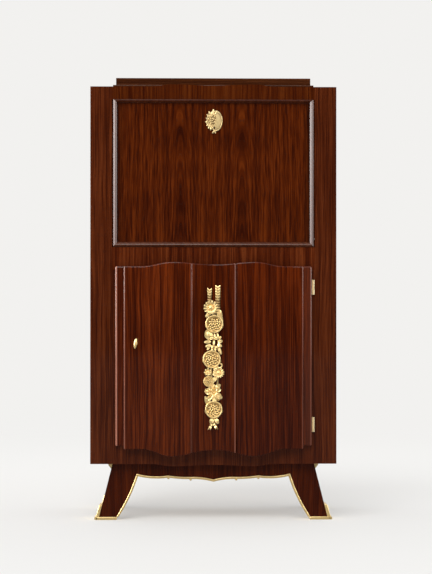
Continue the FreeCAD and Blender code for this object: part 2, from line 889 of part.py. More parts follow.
def petal(root, length, width, height):
    """Pointed petal along +X that rises to a crest."""
    half = width / 2
    crest = Vector(root + length * 0.5, 0, height)
    shares = [(0, 0), (0.35, 1), (0.75, 0.8), (1, 0), (0.75, -0.8), (0.35, -1)]
    rim = [Vector(root + length * along, half * across, 0) for along, across in shares]
    return faceted([rim] + [[rim[i - 1], rim[i], crest] for i in range(len(rim))])


def turned(shape, angle):
    """The same piece turned about its own upright axis."""
    copy = shape.copy()
    copy.rotate(Vector(0, 0, 0), Vector(0, 0, 1), angle)
    return copy


def boss(levels):
    """Faceted round boss through (radius, height) levels, lowest first."""
    rings = []
    for radius, height in levels:
        steps = [2 * math.pi * i / boss_sides for i in range(boss_sides)]
        rings.append([Vector(radius * math.cos(a), radius * math.sin(a), height) for a in steps])
    faces = [rings[0], rings[-1]]
    for low, high in zip(rings, rings[1:]):
        for i in range(boss_sides):
            faces.append([low[i - 1], low[i], high[i], high[i - 1]])
    return faceted(faces)


def dome(radius, height):
    """Boss with a sloping shoulder."""
    return boss([(radius, 0), (radius * 0.9, height * 0.55), (radius * 0.45, height)])


def petal_ring(root, length, width, height, angles):
    """Petals round one point, each a little lower than the one before it."""
    ring = []
    for i, angle in enumerate(angles):
        blade = petal(root, length, width, height * (1 - petal_fall * i))
        blade.rotate(Vector(0, 0, 0), Vector(0, -1, 0), petal_tilt)
        ring.append(turned(blade, angle))
    return ring


def daisy(radius, petals):
    """Open flower: a ring of petals round a domed eye."""
    width = 1.9 * math.pi * radius * 0.6 / petals
    angles = [360 * i / petals for i in range(petals)]
    blades = petal_ring(radius * 0.15, radius * 0.85, width, petal_height * 0.75, angles)
    return dome(radius * 0.36, boss_height).fuse(blades)


def rose(radius):
    """Full flower: a scalloped cup round a ring of petals and a bud."""
    outer = petal_ring(radius * 0.3, radius * 0.7, radius * 1.1, petal_height, [90 + 60 * i for i in range(6)])
    cup = boss([(radius * 0.9, 0), (radius * 0.84, petal_height * 0.75)])
    hollow = boss([(radius * 0.42, petal_height * 0.3), (radius * 0.68, petal_height * 1.5)])
    heart = petal_ring(radius * 0.05, radius * 0.55, radius * 0.5, petal_height * 1.1,
                       [72 * i for i in range(5)])
    return cup.fuse(outer).cut(hollow).fuse(heart + [dome(radius * 0.2, boss_height)])


def leaf_fan(length, width, angles):
    """Spray of pointed leaves that cross at one root."""
    blades = petal_ring(-length * 0.2, length * 1.2, width, petal_height * 0.6, angles)
    return blades[0].fuse(blades[1:])


def ribbon(width, length):
    """Flat ribbon hanging down from its notched end, with the notch at the top."""
    half = width / 2
    points = [Vector(-half, 0, 0), Vector(0, -ribbon_notch, 0), Vector(half, 0, 0), Vector(half, -length, 0),
              Vector(-half, -length, 0)]
    return polygon_solid(points, Vector(0, 0, ribbon_thickness))


def garland_pieces():
    """Flowers, leaves and ribbons, as (x in rose radii, drop as a share of the length, piece)."""
    tail = turned(ribbon(ribbon_width * 0.67, ribbon_length * 0.62), 180)
    flowers = [(-0.31, 0.154, daisy(daisy_radius, 10)), (0.06, 0.268, rose(rose_radius)),
               (-0.23, 0.514, rose(rose_radius)), (-0.58, 0.6, daisy(daisy_radius * 0.64, 6)),
               (0.52, 0.602, daisy(daisy_radius * 0.83, 8)), (0.0, 0.86, rose(rose_radius))]
    leaves = [(0.4, 0.215, leaf_fan(leaf_length * 0.7, leaf_length * 0.45, [20, 70])),
              (-0.3, 0.315, leaf_fan(leaf_length * 0.8, leaf_length * 0.5, [200, 240, 300])),
              (0.0, 0.392, leaf_fan(leaf_length, leaf_length * 0.55, [175, 210, 245, 295, 330, 5, 40, 140])),
              (0.1, 0.455, leaf_fan(leaf_length * 0.7, leaf_length * 0.45, [25, 155])),
              (0.1, 0.67, leaf_fan(leaf_length * 0.7, leaf_length * 0.5, [250, 310])),
              (0.03, 0.732, leaf_fan(leaf_length * 0.9, leaf_length * 0.6, [20, 80, 140, 200, 260, 320])),
              (-0.15, 0.785, leaf_fan(leaf_length * 0.85, leaf_length * 0.45, [160, 205, 335]))]
    bosses = [(0.66, 0.559, dome(rose_radius * 0.32, petal_height)),
              (-0.5, 0.662, dome(rose_radius * 0.55, petal_height)),
              (0.05, 0.73, dome(rose_radius * 0.3, boss_height))]
    ribbons = [(-0.48, 0.02, ribbon(ribbon_width * 0.9, ribbon_length * 0.8)),
               (0.45, 0.0, ribbon(ribbon_width, ribbon_length)), (-0.44, 1.0, tail), (0.34, 0.998, tail)]
    return flowers + leaves + bosses + ribbons


def garland(panel):
    """The whole garland as one casting, seated on the hollow centre panel."""
    top = z_board_top - garland_drop
    seat = proud(door_centre_relief + garland_lift)
    casting = box(-garland_stem, garland_stem, seat - ribbon_thickness * 0.8, seat + 2 * garland_lift,
                  top - garland_length * 0.88, top - garland_length * 0.15)
    for index, (across, share, shape) in enumerate(garland_pieces()):
        piece = shape.copy()
        spot = Vector(across * rose_radius, seat + petal_fall * index, top - share * garland_length)
        place = Placement(spot, Rotation(Vector(1, 0, 0), 90))
        piece.Placement = place.multiply(piece.Placement)
        casting = casting.fuse(piece)
    return casting.cut(panel).removeSplitter()


def escutcheon():
    """Oval leafy lock plate with a keyhole."""
    oval = Part.Ellipse(Vector(0, 0, 0), escutcheon_height / 2, escutcheon_width / 2).toShape()
    oval.rotate(Vector(0, 0, 0), Vector(0, 0, 1), 90)
    plate = Part.Face(Part.Wire(oval)).extrude(Vector(0, 0, escutcheon_thickness))
    leaf = petal(0, escutcheon_height * 0.52, escutcheon_width * 0.24,
                 escutcheon_thickness + escutcheon_leaf_relief)
    leaves = []
    for angle in (70, 95, 120, 145):
        blade = turned(leaf, angle)
        blade.translate(Vector(0, -escutcheon_height * 0.12, 0))
        leaves.append(blade)
    badge = plate.fuse(leaves)
    drop = z_flap_top - escutcheon_drop
    badge.Placement = Placement(Vector(0, panel_front, drop), Rotation(Vector(1, 0, 0), 90))
    return badge.cut(keyhole())


# Base

def leg_inner_arc(shift):
    """Inner edge of a front leg, from the corner of the arch to the foot, moved into the wood by shift."""
    top = Vector(arch_half_width, base_front, arch_corner_height)
    foot = Vector(foot_inner, base_front, 0)
    chord = foot - top
    across = Vector(-chord.z, 0, chord.x).normalize()
    move = across * shift
    middle = (top + foot) * 0.5 - across * leg_bow
    return [top + move, middle + move, foot + move]


def leg_front(inner_edges, inner_top, foot):
    """Front outline of a leg, extruded right through the cabinet's depth."""
    top_outer = Vector(leg_top_outer, base_front, base_height)
    foot_outer = Vector(leg_foot_outer, base_front, 0)
    edges = inner_edges + [line(foot, foot_outer), line(foot_outer, top_outer), line(top_outer, inner_top)]
    return solid_between(edges, Vector(0, carcass_depth, 0))


def leg_side(front, back_top, back_foot, bow):
    """Side outline of a leg: one straight upright edge and one curved edge."""
    top = Vector(0, front, base_height)
    foot = Vector(0, front, 0)
    far_top = Vector(0, back_top, base_height)
    far_foot = Vector(0, back_foot, 0)
    middle = (far_top + far_foot) * 0.5 + Vector(0, bow, 0)
    edges = [line(top, foot), line(foot, far_foot), arc(far_foot, middle, far_top), line(far_top, top)]
    return solid_between(edges, Vector(carcass_width / 2, 0, 0))


def above_sole(shape):
    return shape.cut(box(0, carcass_width, face - carcass_depth, carcass_back, -sole_height, sole_height))


def front_leg():
    start, middle, foot = leg_inner_arc(trim_thickness)
    joint_top = Vector(arch_half_width, base_front, base_height)
    joint_low = Vector(arch_half_width, base_front, arch_corner_height + trim_thickness)
    inner = [line(joint_top, joint_low), line(joint_low, start), arc(start, middle, foot)]
    side = leg_side(base_front, base_front + leg_top_depth, base_front + leg_foot_depth, leg_bow)
    return above_sole(leg_front(inner, joint_top, foot).common(side))


def rear_leg():
    top = Vector(leg_top_outer - rear_leg_top_width, base_front, base_height)
    foot = Vector(leg_foot_outer - rear_leg_foot_width, base_front, 0)
    middle = (top + foot) * 0.5 - Vector(leg_bow, 0, 0)
    side = leg_side(base_back, base_back - leg_top_depth, base_back - leg_foot_depth, -leg_bow)
    return above_sole(leg_front([arc(top, middle, foot)], top, foot).common(side))


def apron_half(lift):
    """Lower edge of the front apron from the leg to the centre, as runs of three points."""
    corner = (arch_half_width, arch_corner_height + lift)
    outer = (apron_outer_drop, base_height - apron_outer_drop_depth + lift)
    inner = (apron_inner_drop, base_height - apron_inner_drop_depth + lift)
    centre = (0.0, base_height - apron_centre_depth + lift)
    outer_sag = base_height - apron_outer_sag_depth + lift
    middle_sag = base_height - apron_middle_sag_depth + lift
    inner_sag = base_height - apron_inner_sag_depth + lift
    return [(corner, ((corner[0] + outer[0]) / 2, outer_sag), outer),
            (outer, ((outer[0] + inner[0]) / 2, middle_sag), inner),
            (inner, (inner[0] / 2, inner_sag), centre)]


def apron_edges(lift, y):
    """Lower edge of the front apron, right to left."""
    edges = []
    for start, through, end in apron_half(lift):
        points = front_points([start, through, end], y)
        edges.append(arc(*points))
        edges.append(arc(*front_points([(-x, z) for x, z in (end, through, start)], y)))
    return edges


def front_apron():
    right = Vector(arch_half_width, base_front, base_height)
    left = Vector(-arch_half_width, base_front, base_height)
    drop = Vector(0, 0, arch_corner_height + trim_thickness - base_height)
    edges = apron_edges(trim_thickness, base_front)
    edges += [line(right, right + drop), line(left, left + drop), line(left, right)]
    return solid_between(edges, Vector(0, apron_thickness, 0))


def apron_trim():
    """Gilt strip under the front apron."""
    y = base_front - trim_proud
    edges = apron_edges(trim_thickness, y) + apron_edges(0, y)
    for side in (-1, 1):
        low = Vector(side * arch_half_width, y, arch_corner_height)
        edges.append(line(low, low + Vector(0, 0, trim_thickness)))
    return solid_between(edges, Vector(0, trim_proud + trim_depth, 0))


def leg_trim():
    """Gilt strip on the inner edge of a front leg, mitred to the apron's strip."""
    top, middle, foot = leg_inner_arc(0)
    wood_top, wood_middle, wood_foot = leg_inner_arc(trim_thickness)
    corner = Vector(arch_half_width, base_front, arch_corner_height + trim_thickness)
    edges = [arc(top, middle, foot), line(foot, wood_foot), arc(wood_foot, wood_middle, wood_top),
             line(wood_top, corner), line(corner, top)]
    strip = solid_between(edges, Vector(0, trim_proud + trim_depth, 0))
    strip.translate(Vector(0, -trim_proud, 0))
    return above_sole(strip)


def leg_bracket():
    """Small gilt bracket between the outer side of a front leg and the carcass."""
    low = base_height - bracket_height
    outer = leg_top_outer + bracket_width
    corners = [(leg_top_outer, base_height), (outer, base_height), (outer, base_height - bracket_height / 3),
               (leg_slope(low), low)]
    return polygon_solid(front_points(corners, base_front), Vector(0, bracket_depth, 0))


def side_arch(x, lift):
    """Lower edge of a side apron, as a shallow arch that runs into the legs."""
    front = base_front + leg_foot_depth
    back = base_back - leg_foot_depth
    crown = base_height - side_apron_rise - trim_thickness + lift
    spring = arch_corner_height + lift
    return [Vector(x, front, spring), Vector(x, (front + back) / 2, crown), Vector(x, back, spring)]


def side_apron():
    x = leg_top_outer - apron_thickness
    start, middle, end = side_arch(x, trim_thickness)
    top_front = Vector(x, start.y, base_height)
    top_back = Vector(x, end.y, base_height)
    edges = [arc(start, middle, end), line(end, top_back), line(top_back, top_front), line(top_front, start)]
    board = solid_between(edges, Vector(apron_thickness, 0, 0))
    return board.cut(front_leg()).cut(rear_leg())


def side_trim():
    x = leg_top_outer - trim_depth
    low_front, low_middle, low_back = side_arch(x, 0)
    high_front, high_middle, high_back = side_arch(x, trim_thickness)
    edges = [arc(low_front, low_middle, low_back), line(low_back, high_back),
             arc(high_back, high_middle, high_front), line(high_front, low_front)]
    strip = solid_between(edges, Vector(trim_depth + side_trim_proud, 0, 0))
    return strip.cut(front_leg()).cut(rear_leg())


def rear_apron():
    half = leg_top_outer - rear_leg_top_width / 2
    board = box(-half, half, base_back - apron_thickness, base_back,
                base_height - rear_apron_height, base_height)
    return board.cut(pair(rear_leg()))


def leg_slope(z):
    """Outer edge of a leg at a height."""
    return leg_foot_outer + (leg_top_outer - leg_foot_outer) * z / base_height


def sabot(foot_inner_x, front, back):
    """Gilt shoe: a sole under the foot and a plate up its outer side."""
    sole_points = [(foot_inner_x, 0.0), (leg_foot_outer + sole_proud, 0.0),
                   (leg_slope(sole_height) + sabot_plate_thickness, sole_height), (foot_inner_x, sole_height)]
    plate_points = [(leg_slope(sole_height), sole_height),
                    (leg_slope(sole_height) + sabot_plate_thickness, sole_height),
                    (leg_slope(sabot_plate_height) + sabot_plate_thickness, sabot_plate_height),
                    (leg_slope(sabot_plate_height), sabot_plate_height)]
    depth = Vector(0, back - front, 0)
    sole = polygon_solid(front_points(sole_points, front), depth)
    plate = polygon_solid(front_points(plate_points, front), depth)
    return sole.fuse(plate).removeSplitter()


def front_sabot():
    return sabot(foot_inner, base_front - trim_proud, base_front + leg_foot_depth + trim_proud)


def rear_sabot():
    inner = leg_foot_outer - rear_leg_foot_width - trim_proud
    return sabot(inner, base_back - leg_foot_depth - trim_proud, base_back)


def pair(shape):
    """A piece and its mirror image in one group."""
    return Part.makeCompound([shape, mirrored(shape)])


def build():
    """All pieces by node name."""
    left_door_panel = mirrored(door_side_panel()).cut(knob_rose(bore_clearance))
    left_door_panel = left_door_panel.cut(knob_hole(knob_neck + 2 * slide_clearance))
    right_door_panel = door_side_panel()
    centre_panel = door_centre_panel()
    frame_stile = stile().cut(bush_hole())
    pins = shelf_pins()
    pin_group = Part.makeCompound(pins)
    lining = bar_lining().cut(pin_group)
    side = side_panel().cut(pin_group)
    door_jamb = jamb()
    thrown_bolt = bolt_way(bolt_throw + seat_gap, slide_clearance)
    inner_depth = (frame_back, back_front)
    parts = {
        "left_side_panel": mirrored(side),
        "right_side_panel": side,
        "top_board": box(-side_inner, side_inner, *inner_depth, top_board_bottom, z_carcass_top),
        "bottom_board": box(-side_inner, side_inner, *inner_depth, base_height, base_height + board_thickness),
        "back_panel": box(-side_inner, side_inner, back_front, back_front + back_thickness,
                          base_height, z_carcass_top),
        "left_stile": mirrored(frame_stile),
        "right_stile": frame_stile,
        "top_rail": top_rail(),
        "middle_rail": box(-opening_half, opening_half, face, frame_back, z_opening_top, z_middle_top),
        "bottom_rail": bottom_rail(),
        "left_door_jamb": mirrored(door_jamb).cut(door_strike_plate()).cut(thrown_bolt),
        "right_door_jamb": door_jamb,
        "bar_floor": bar_floor(),
        "cupboard_ceiling": box(-side_inner, side_inner, *inner_depth, z_opening_top,
                                z_opening_top + ceiling_thickness),
        "left_bar_lining": mirrored(lining),
        "right_bar_lining": lining,
        "flap_stop_batten": flap_stop(),
        "bar_mirror": bar_mirror(),
        "glass_shelf": glass_shelf(),
        "cupboard_shelf": cupboard_shelf(),
        "shelf_pins": pin_group,
        "top_plinth": plinth(),
        "front_apron": front_apron(),
        "rear_apron": rear_apron(),
        "left_apron": mirrored(side_apron()),
        "right_apron": side_apron(),
        "front_left_leg": mirrored(front_leg()),
        "front_right_leg": front_leg(),
        "rear_left_leg": mirrored(rear_leg()),
        "rear_right_leg": rear_leg(),
        "base_trims": Part.makeCompound([apron_trim(), pair(leg_trim()), pair(side_trim()),
                                         pair(leg_bracket())]),
        "front_left_sabot": mirrored(front_sabot()),
        "front_right_sabot": front_sabot(),
        "rear_sabots": pair(rear_sabot()),
        "flap_pivot_bushes": pair(pivot_bush()),
        "stay_guides": pair(stay_guide()),
        "strike_plates": Part.makeCompound([flap_strike_plate().cut(flap_bolt_way()),
                                            door_strike_plate().cut(thrown_bolt)]),
        "door_hinge_frame_leaves": Part.makeCompound(frame_hinges()),
        "flap_panel": flap_panel(),
        "flap_lining": flap_lining(),
        "flap_pivot_pins": pair(pivot_pin()),
        "flap_escutcheon": escutcheon(),
        "flap_lock_case": flap_lock_case(),
        "left_stay": mirrored(stay()),
        "right_stay": stay(),
        "flap_lock_bolt": lock_bolt(0, 0),
        "door_back_board": door_board().cut(knob_hole(knob_neck + 2 * slide_clearance)),
        "door_left_panel": left_door_panel,
        "door_right_panel": right_door_panel,
        "door_centre_panel": centre_panel,
        "door_garland": garland(centre_panel),
        "door_hinge_door_leaves": Part.makeCompound(door_hinges()),
        "door_lock_case": door_lock_case(),
        "door_knob": door_knob(),
        "door_knob_rose": knob_rose(0).cut(knob_hole(knob_neck + 2 * bore_clearance)),
        "door_bolt": door_bolt(),
    }
    parts.update(flap_beads())
    return parts


def main():
    os.makedirs("parts", exist_ok=True)
    for name, shape in build().items():
        shape.exportStep(f"parts/{name}.step")


main()
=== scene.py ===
"""Bar cabinet with a fold-out shelf: finishes, finer pieces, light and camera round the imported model."""

import logging
import math
from dataclasses import dataclass, field, replace
from enum import Enum
from typing import Any, Callable, Sequence

import bpy
from mathutils import Matrix, Vector

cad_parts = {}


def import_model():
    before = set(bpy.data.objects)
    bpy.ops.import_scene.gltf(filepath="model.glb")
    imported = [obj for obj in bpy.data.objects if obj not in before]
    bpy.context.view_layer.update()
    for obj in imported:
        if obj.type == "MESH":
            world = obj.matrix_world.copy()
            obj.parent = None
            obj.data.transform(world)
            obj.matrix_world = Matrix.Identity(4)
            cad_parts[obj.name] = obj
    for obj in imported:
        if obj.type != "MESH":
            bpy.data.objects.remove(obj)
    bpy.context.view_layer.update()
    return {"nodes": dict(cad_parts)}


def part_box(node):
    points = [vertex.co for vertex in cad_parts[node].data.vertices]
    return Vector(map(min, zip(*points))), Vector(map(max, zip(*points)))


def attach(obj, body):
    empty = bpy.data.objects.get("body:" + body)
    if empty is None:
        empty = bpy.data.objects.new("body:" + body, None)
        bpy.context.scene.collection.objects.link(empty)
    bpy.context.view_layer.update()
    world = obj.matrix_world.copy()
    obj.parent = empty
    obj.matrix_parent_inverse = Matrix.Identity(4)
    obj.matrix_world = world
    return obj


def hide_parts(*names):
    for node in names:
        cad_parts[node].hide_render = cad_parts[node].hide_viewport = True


LOG = logging.getLogger("bar_cabinet")
MM = 0.001

Colour = tuple[float, float, float]


# Shader maths

class Value:
    """A number socket of a node tree that takes part in Python expressions."""

    def __init__(self, graph: "Graph", socket: bpy.types.NodeSocket) -> None:
        """Keeps the socket and the graph that owns it."""
        self.graph = graph
        self.socket = socket

    def _math(self, operation: str, *terms: Any) -> "Value":
        """Adds a Math node.

        Args:
            operation: Name of the Math node's operation.
            terms: Its inputs, as values or plain numbers.

        Returns:
            The node's output.
        """
        node = self.graph.node("ShaderNodeMath", {"operation": operation}, dict(enumerate(terms)))
        return Value(self.graph, node.outputs[0])

    def __add__(self, other: Any) -> "Value":
        """Sum."""
        return self._math("ADD", self, other)

    __radd__ = __add__

    def __sub__(self, other: Any) -> "Value":
        """Difference."""
        return self._math("SUBTRACT", self, other)

    def __rsub__(self, other: Any) -> "Value":
        """Difference from a plain number."""
        return self._math("SUBTRACT", other, self)

    def __mul__(self, other: Any) -> "Value":
        """Product."""
        return self._math("MULTIPLY", self, other)

    __rmul__ = __mul__

    def __truediv__(self, other: Any) -> "Value":
        """Quotient."""
        return self._math("DIVIDE", self, other)

    def __rtruediv__(self, other: Any) -> "Value":
        """Quotient of a plain number."""
        return self._math("DIVIDE", other, self)

    def root(self) -> "Value":
        """Square root."""
        return self._math("SQRT", self)

    def size(self) -> "Value":
        """The value without its sign."""
        return self._math("ABSOLUTE", self)

    def least(self, other: Any) -> "Value":
        """The smaller of two values."""
        return self._math("MINIMUM", self, other)

    def most(self, other: Any) -> "Value":
        """The larger of two values."""
        return self._math("MAXIMUM", self, other)


class Graph:
    """Node tree of one material or world."""

    def __init__(self, tree: bpy.types.NodeTree) -> None:
        """Empties the tree."""
        self.tree = tree
        tree.nodes.clear()

    def node(self, kind: str, settings: dict[str, Any], sockets: dict[Any, Any]) -> bpy.types.Node:
        """Adds a node.

        Args:
            kind: Type name of the node.
            settings: Its own settings; "stops" fills a colour ramp with (place, colour) pairs.
            sockets: Values or links of its inputs, by name or index.

        Returns:
            The new node.
        """
        node = self.tree.nodes.new(kind)
        for name, setting in settings.items():
            if name == "stops":
                ramp = node.color_ramp.elements
                while len(ramp) < len(setting):
                    ramp.new(1.0)
                for element, (place, colour) in zip(ramp, setting):
                    element.position = place
                    element.color = (*colour, 1.0)
            else:
                setattr(node, name, setting)
        for name, value in sockets.items():
            socket = node.inputs[name]
            if isinstance(value, Value):
                self.tree.links.new(value.socket, socket)
            elif isinstance(value, bpy.types.NodeSocket):
                self.tree.links.new(value, socket)
            else:
                socket.default_value = value
        return node

    def place(self) -> tuple[Value, Value, Value]:
        """Object coordinates, in metres.

        Returns:
            The x, y and z of the shaded point.
        """
        here = self.node("ShaderNodeTexCoord", {}, {})
        parts = self.node("ShaderNodeSeparateXYZ", {}, {0: here.outputs["Object"]})
        return tuple(Value(self, socket) for socket in parts.outputs)

    def vector(self, x: Any, y: Any, z: Any) -> bpy.types.NodeSocket:
        """Joins three numbers to a vector.

        Args:
            x: First part.
            y: Second part.
            z: Third part.

        Returns:
            The vector's socket.
        """
        return self.node("ShaderNodeCombineXYZ", {}, {0: x, 1: y, 2: z}).outputs[0]

    def noise(self, vector: Any, scale: float, detail: float = 3.0, rough: float = 0.55) -> Value:
        """Soft noise between 0 and 1.

        Args:
            vector: Where it is read.
            scale: Features per unit of the vector.
            detail: Octaves.
            rough: Share of the finer octaves.

        Returns:
            The noise.
        """
        node = self.node("ShaderNodeTexNoise", {}, {"Vector": vector, "Scale": scale, "Detail": detail,
                                                     "Roughness": rough})
        return Value(self, node.outputs["Fac"])

    def ramp(self, factor: Value, stops: Sequence[tuple[float, Colour]]) -> bpy.types.NodeSocket:
        """Colour ramp.

        Args:
            factor: Place on the ramp.
            stops: Its (place, colour) stops.

        Returns:
            The colour's socket.
        """
        return self.node("ShaderNodeValToRGB", {"stops": stops}, {0: factor}).outputs[0]

    def span(self, value: Value, low: float, high: float, start: float = 0.0, end: float = 1.0) -> Value:
        """Maps a range of a value to another range, and stops at its ends.

        Args:
            value: What is mapped.
            low: Where the range starts.
            high: Where the range ends.
            start: Result at low.
            end: Result at high.

        Returns:
            The mapped value.
        """
        node = self.node("ShaderNodeMapRange", {"interpolation_type": "SMOOTHSTEP"},
                         {"Value": value, "From Min": low, "From Max": high, "To Min": start, "To Max": end})
        return Value(self, node.outputs[0])

    def mix(self, factor: Any, first: Any, second: Any, blend: str = "MIX") -> bpy.types.NodeSocket:
        """Mixes two colours.

        Args:
            factor: Share of the second one.
            first: First colour.
            second: Second colour.
            blend: How they are mixed.

        Returns:
            The colour's socket.
        """
        colours = [(*c, 1.0) if isinstance(c, tuple) else c for c in (first, second)]
        node = self.node("ShaderNodeMix", {"data_type": "RGBA", "blend_type": blend},
                         {0: factor, 6: colours[0], 7: colours[1]})
        return node.outputs[2]

    def bump(self, height: Value, strength: float, distance: float) -> bpy.types.NodeSocket:
        """Bump from a height.

        Args:
            height: Height between 0 and 1.
            strength: How much of it shows.
            distance: Depth of the relief in metres.

        Returns:
            The normal's socket.
        """
        return self.node("ShaderNodeBump", {}, {"Height": height, "Strength": strength,
                                                 "Distance": distance}).outputs[0]

    def surface(self, **sockets: Any) -> None:
        """Ends the tree in a Principled shader.

        Args:
            sockets: Its inputs, with underscores for spaces.
        """
        inputs = {name.replace("_", " "): value for name, value in sockets.items()}
        shader = self.node("ShaderNodeBsdfPrincipled", {}, inputs)
        self.node("ShaderNodeOutputMaterial", {}, {"Surface": shader.outputs[0]})


def new_material(name: str) -> tuple[bpy.types.Material, Graph]:
    """Makes an empty material.

    Args:
        name: Its name.

    Returns:
        The material and its graph.
    """
    material = bpy.data.materials.new(name)
    material.use_nodes = True
    return material, Graph(material.node_tree)


# Finishes

class Figure(Enum):
    """How the grain of a veneer runs."""

    STRAIGHT = "straight"
    FLAME = "flame"
    LEVEL = "level"


@dataclass(frozen=True)
class Pace:
    """How fast a pattern of a veneer changes.

    Attributes:
        across: Changes per metre across the grain.
        along: Changes per metre along the grain.
        offset: Keeps the pattern apart from the others.
        detail: Octaves of its noise.
        rough: Share of the finer octaves.
    """

    across: float
    along: float
    offset: float = 0.0
    detail: float = 2.0
    rough: float = 0.55


@dataclass(frozen=True)
class Mahogany:
    """Dark red mahogany veneer under a polished lacquer.

    Attributes:
        name: Name of the material.
        figure: How the grain runs.
        dark: Colour of the dark stripes.
        middle: Colour between them.
        light: Colour of the light stripes.
        pore: Colour of the open pores.
        edge_highlight_colour: Colour of the painted highlights on upright edges.
        stripe: Stripes per metre.
        streaks: Changes per metre along the grain, of the stripes and of the fine lines in them.
        bands: Strength of the broad bands.
        shift: Offset that gives each leaf of veneer its own figure.
        polish: Weight of the lacquer.
        shade: Tone of the wood near the floor against the tone at the top, a painted shade for the weaker
            light low down.
        painted_shade_heights: Heights between which that painted shade changes, in metres.
        flames: (x, z) of the feet of the flames, in metres.
        slender: Width of a flame against its height.
        lean: Share of the depth that counts across the grain.
        wander: Slow and quick bends of the grain, in metres.
        foot_shade_depth: Depth, in metres, behind which painted shade darkens the foot of a moulding and
            dulls its lacquer.
        rim: Half width and top, in metres, of a sunk field with painted shade along its edge, next to its
            moulding.
        rim_shade_width: Width of that painted shade, in metres.
        rim_shade_tone: Tone of the wood under that painted shade.
        rim_shade_narrow: How many times narrower the painted shade is along the top.
        painted_edge_light: (x, half width, share) of upright edges and creases with a painted highlight, in
            metres.
    """

    name: str
    figure: Figure = Figure.STRAIGHT
    dark: Colour = (0.044, 0.0062, 0.0007)
    middle: Colour = (0.077, 0.0116, 0.0011)
    light: Colour = (0.120, 0.0215, 0.0022)
    pore: Colour = (0.022, 0.0035, 0.0010)
    edge_highlight_colour: Colour = (0.46, 0.19, 0.13)
    stripe: float = 105.0
    streaks: tuple[float, float] = (2.0, 5.0)
    bands: float = 1.0
    shift: float = 0.0
    polish: float = 0.5
    shade: float = 0.82
    painted_shade_heights: tuple[float, float] = (0.25, 1.05)
    flames: tuple[tuple[float, float], ...] = ((-0.112, 0.780), (0.098, 0.800))
    slender: float = 0.052
    lean: float = 0.9
    wander: tuple[float, float] = (0.022, 0.006)
    foot_shade_depth: float | None = None
    rim: tuple[float, float] | None = None
    rim_shade_width: float = 0.026
    rim_shade_tone: float = 0.58
    rim_shade_narrow: float = 2.2
    painted_edge_light: tuple[tuple[float, float, float], ...] = ()

    def _across(self, x: Value, y: Value, z: Value) -> Value:
        """Distance across the grain.

        Args:
            x: Place along the width.
            y: Place along the depth.
            z: Height.

        Returns:
            The distance in metres.
        """
        if self.figure is Figure.LEVEL:
            return z + y * self.lean
        if self.figure is Figure.STRAIGHT:
            return x + y * self.lean
        rings = []
        for foot_x, foot_z in self.flames:
            aside = x - foot_x
            rise = (z - foot_z) * self.slender
            rings.append((aside * aside + rise * rise).root())
        nearest = rings[0]
        for ring in rings[1:]:
            nearest = nearest.least(ring)
        return nearest

    def _pattern(self, graph: Graph, across: Value, along: Value, pace: Pace) -> Value:
        """Noise drawn out along the grain.

        Args:
            graph: Graph of the material.
            across: Distance across the grain.
            along: Distance along the grain.
            pace: How fast it changes.

        Returns:
            The noise, between 0 and 1.
        """
        where = graph.vector(across * pace.across, along * pace.along, self.shift + pace.offset)
        return graph.noise(where, 1.0, pace.detail, pace.rough)

    def _painted_shade(self, graph: Graph, x: Value, z: Value) -> Value:
        """Painted shade of the wood: darker near the floor, where less light reaches, and along a sunk
        field's edge next to its moulding.

        Args:
            graph: Graph of the material.
            x: Place along the width.
            z: Height.

        Returns:
            The tone, 1 where the wood keeps its own colour.
        """
        # Painted shade that darkens the wood towards the floor.
        fade = graph.span(z, *self.painted_shade_heights, self.shade, 1.0)
        if self.rim is None:
            return fade
        # Painted shade along the sides and top of the sunk field, next to its moulding.
        half, top = self.rim
        near = (half - x.size()).least((top - z) * self.rim_shade_narrow)
        return fade * graph.span(near, 0.0, self.rim_shade_width, self.rim_shade_tone, 1.0)

    def make(self) -> bpy.types.Material:
        """Builds the material.

        Returns:
            The material.
        """
        material, graph = new_material(self.name)
        x, y, z = graph.place()
        along = x if self.figure is Figure.LEVEL else z
        across = self._across(x, y, z) + self.shift
        aside = x * 1.5 if self.figure is Figure.FLAME else across
        slow = self._pattern(graph, aside, along, Pace(5.0, 1.3)) - 0.5
        quick = self._pattern(graph, across, along, Pace(26.0, 11.0, 1.0)) - 0.5
        bent = across + slow * self.wander[0] + quick * self.wander[1]
        ribbon = self._pattern(graph, bent, along, Pace(self.stripe, self.streaks[0], 0.0, 2.5, 0.6))
        line = self._pattern(graph, bent, along, Pace(self.stripe * 2.6, self.streaks[1], 2.0, 1.5))
        broad = (self._pattern(graph, bent, along, Pace(11.0, 0.7, 4.0)) - 0.5) * self.bands + 0.5
        pores = graph.noise(graph.vector(bent * 480.0, along * 55.0, y * 400.0), 1.0, 2.0)
        mottle = graph.noise(graph.vector(x * 24.0, y * 24.0, z * 14.0), 1.0, 3.0)
        tone = ribbon * 0.40 + line * 0.36 + broad * 0.18 + mottle * 0.06
        colour = graph.ramp(tone, ((0.41, self.dark), (0.50, self.middle), (0.59, self.light)))
        speck = graph.span(pores, 0.56, 0.68)
        colour = graph.mix(speck * 0.42, colour, self.pore)
        fade = self._painted_shade(graph, x, z)
        gloss: Any = self.polish
        # Painted shade in the moulding's inner foot: darker wood and less lacquer sheen.
        if self.foot_shade_depth is not None:
            clear = graph.span(y, self.foot_shade_depth, self.foot_shade_depth - 0.0012, 0.3, 1.0)
            fade, gloss = fade * clear, clear * gloss
        # Multiplies the painted shade into the wood's colour.
        colour = graph.mix(1.0, colour, graph.vector(fade, fade, fade), "MULTIPLY")
        # Painted highlights: light bands along the rounded upright edges and creases, where the side lights
        # glint.
        for place, half, share in self.painted_edge_light:
            band = graph.span((x - place).size(), half, half * 0.35, 0.0, share)
            colour = graph.mix(band, colour, self.edge_highlight_colour)
        rough = 0.24 + (mottle - 0.5) * 0.12 + speck * 0.10
        graph.surface(Base_Color=colour, Roughness=rough, Specular_IOR_Level=0.08, Coat_Weight=gloss,
                      Coat_Roughness=0.05, Coat_IOR=1.5, Normal=graph.bump(pores, 0.04, 0.0004))
        return material


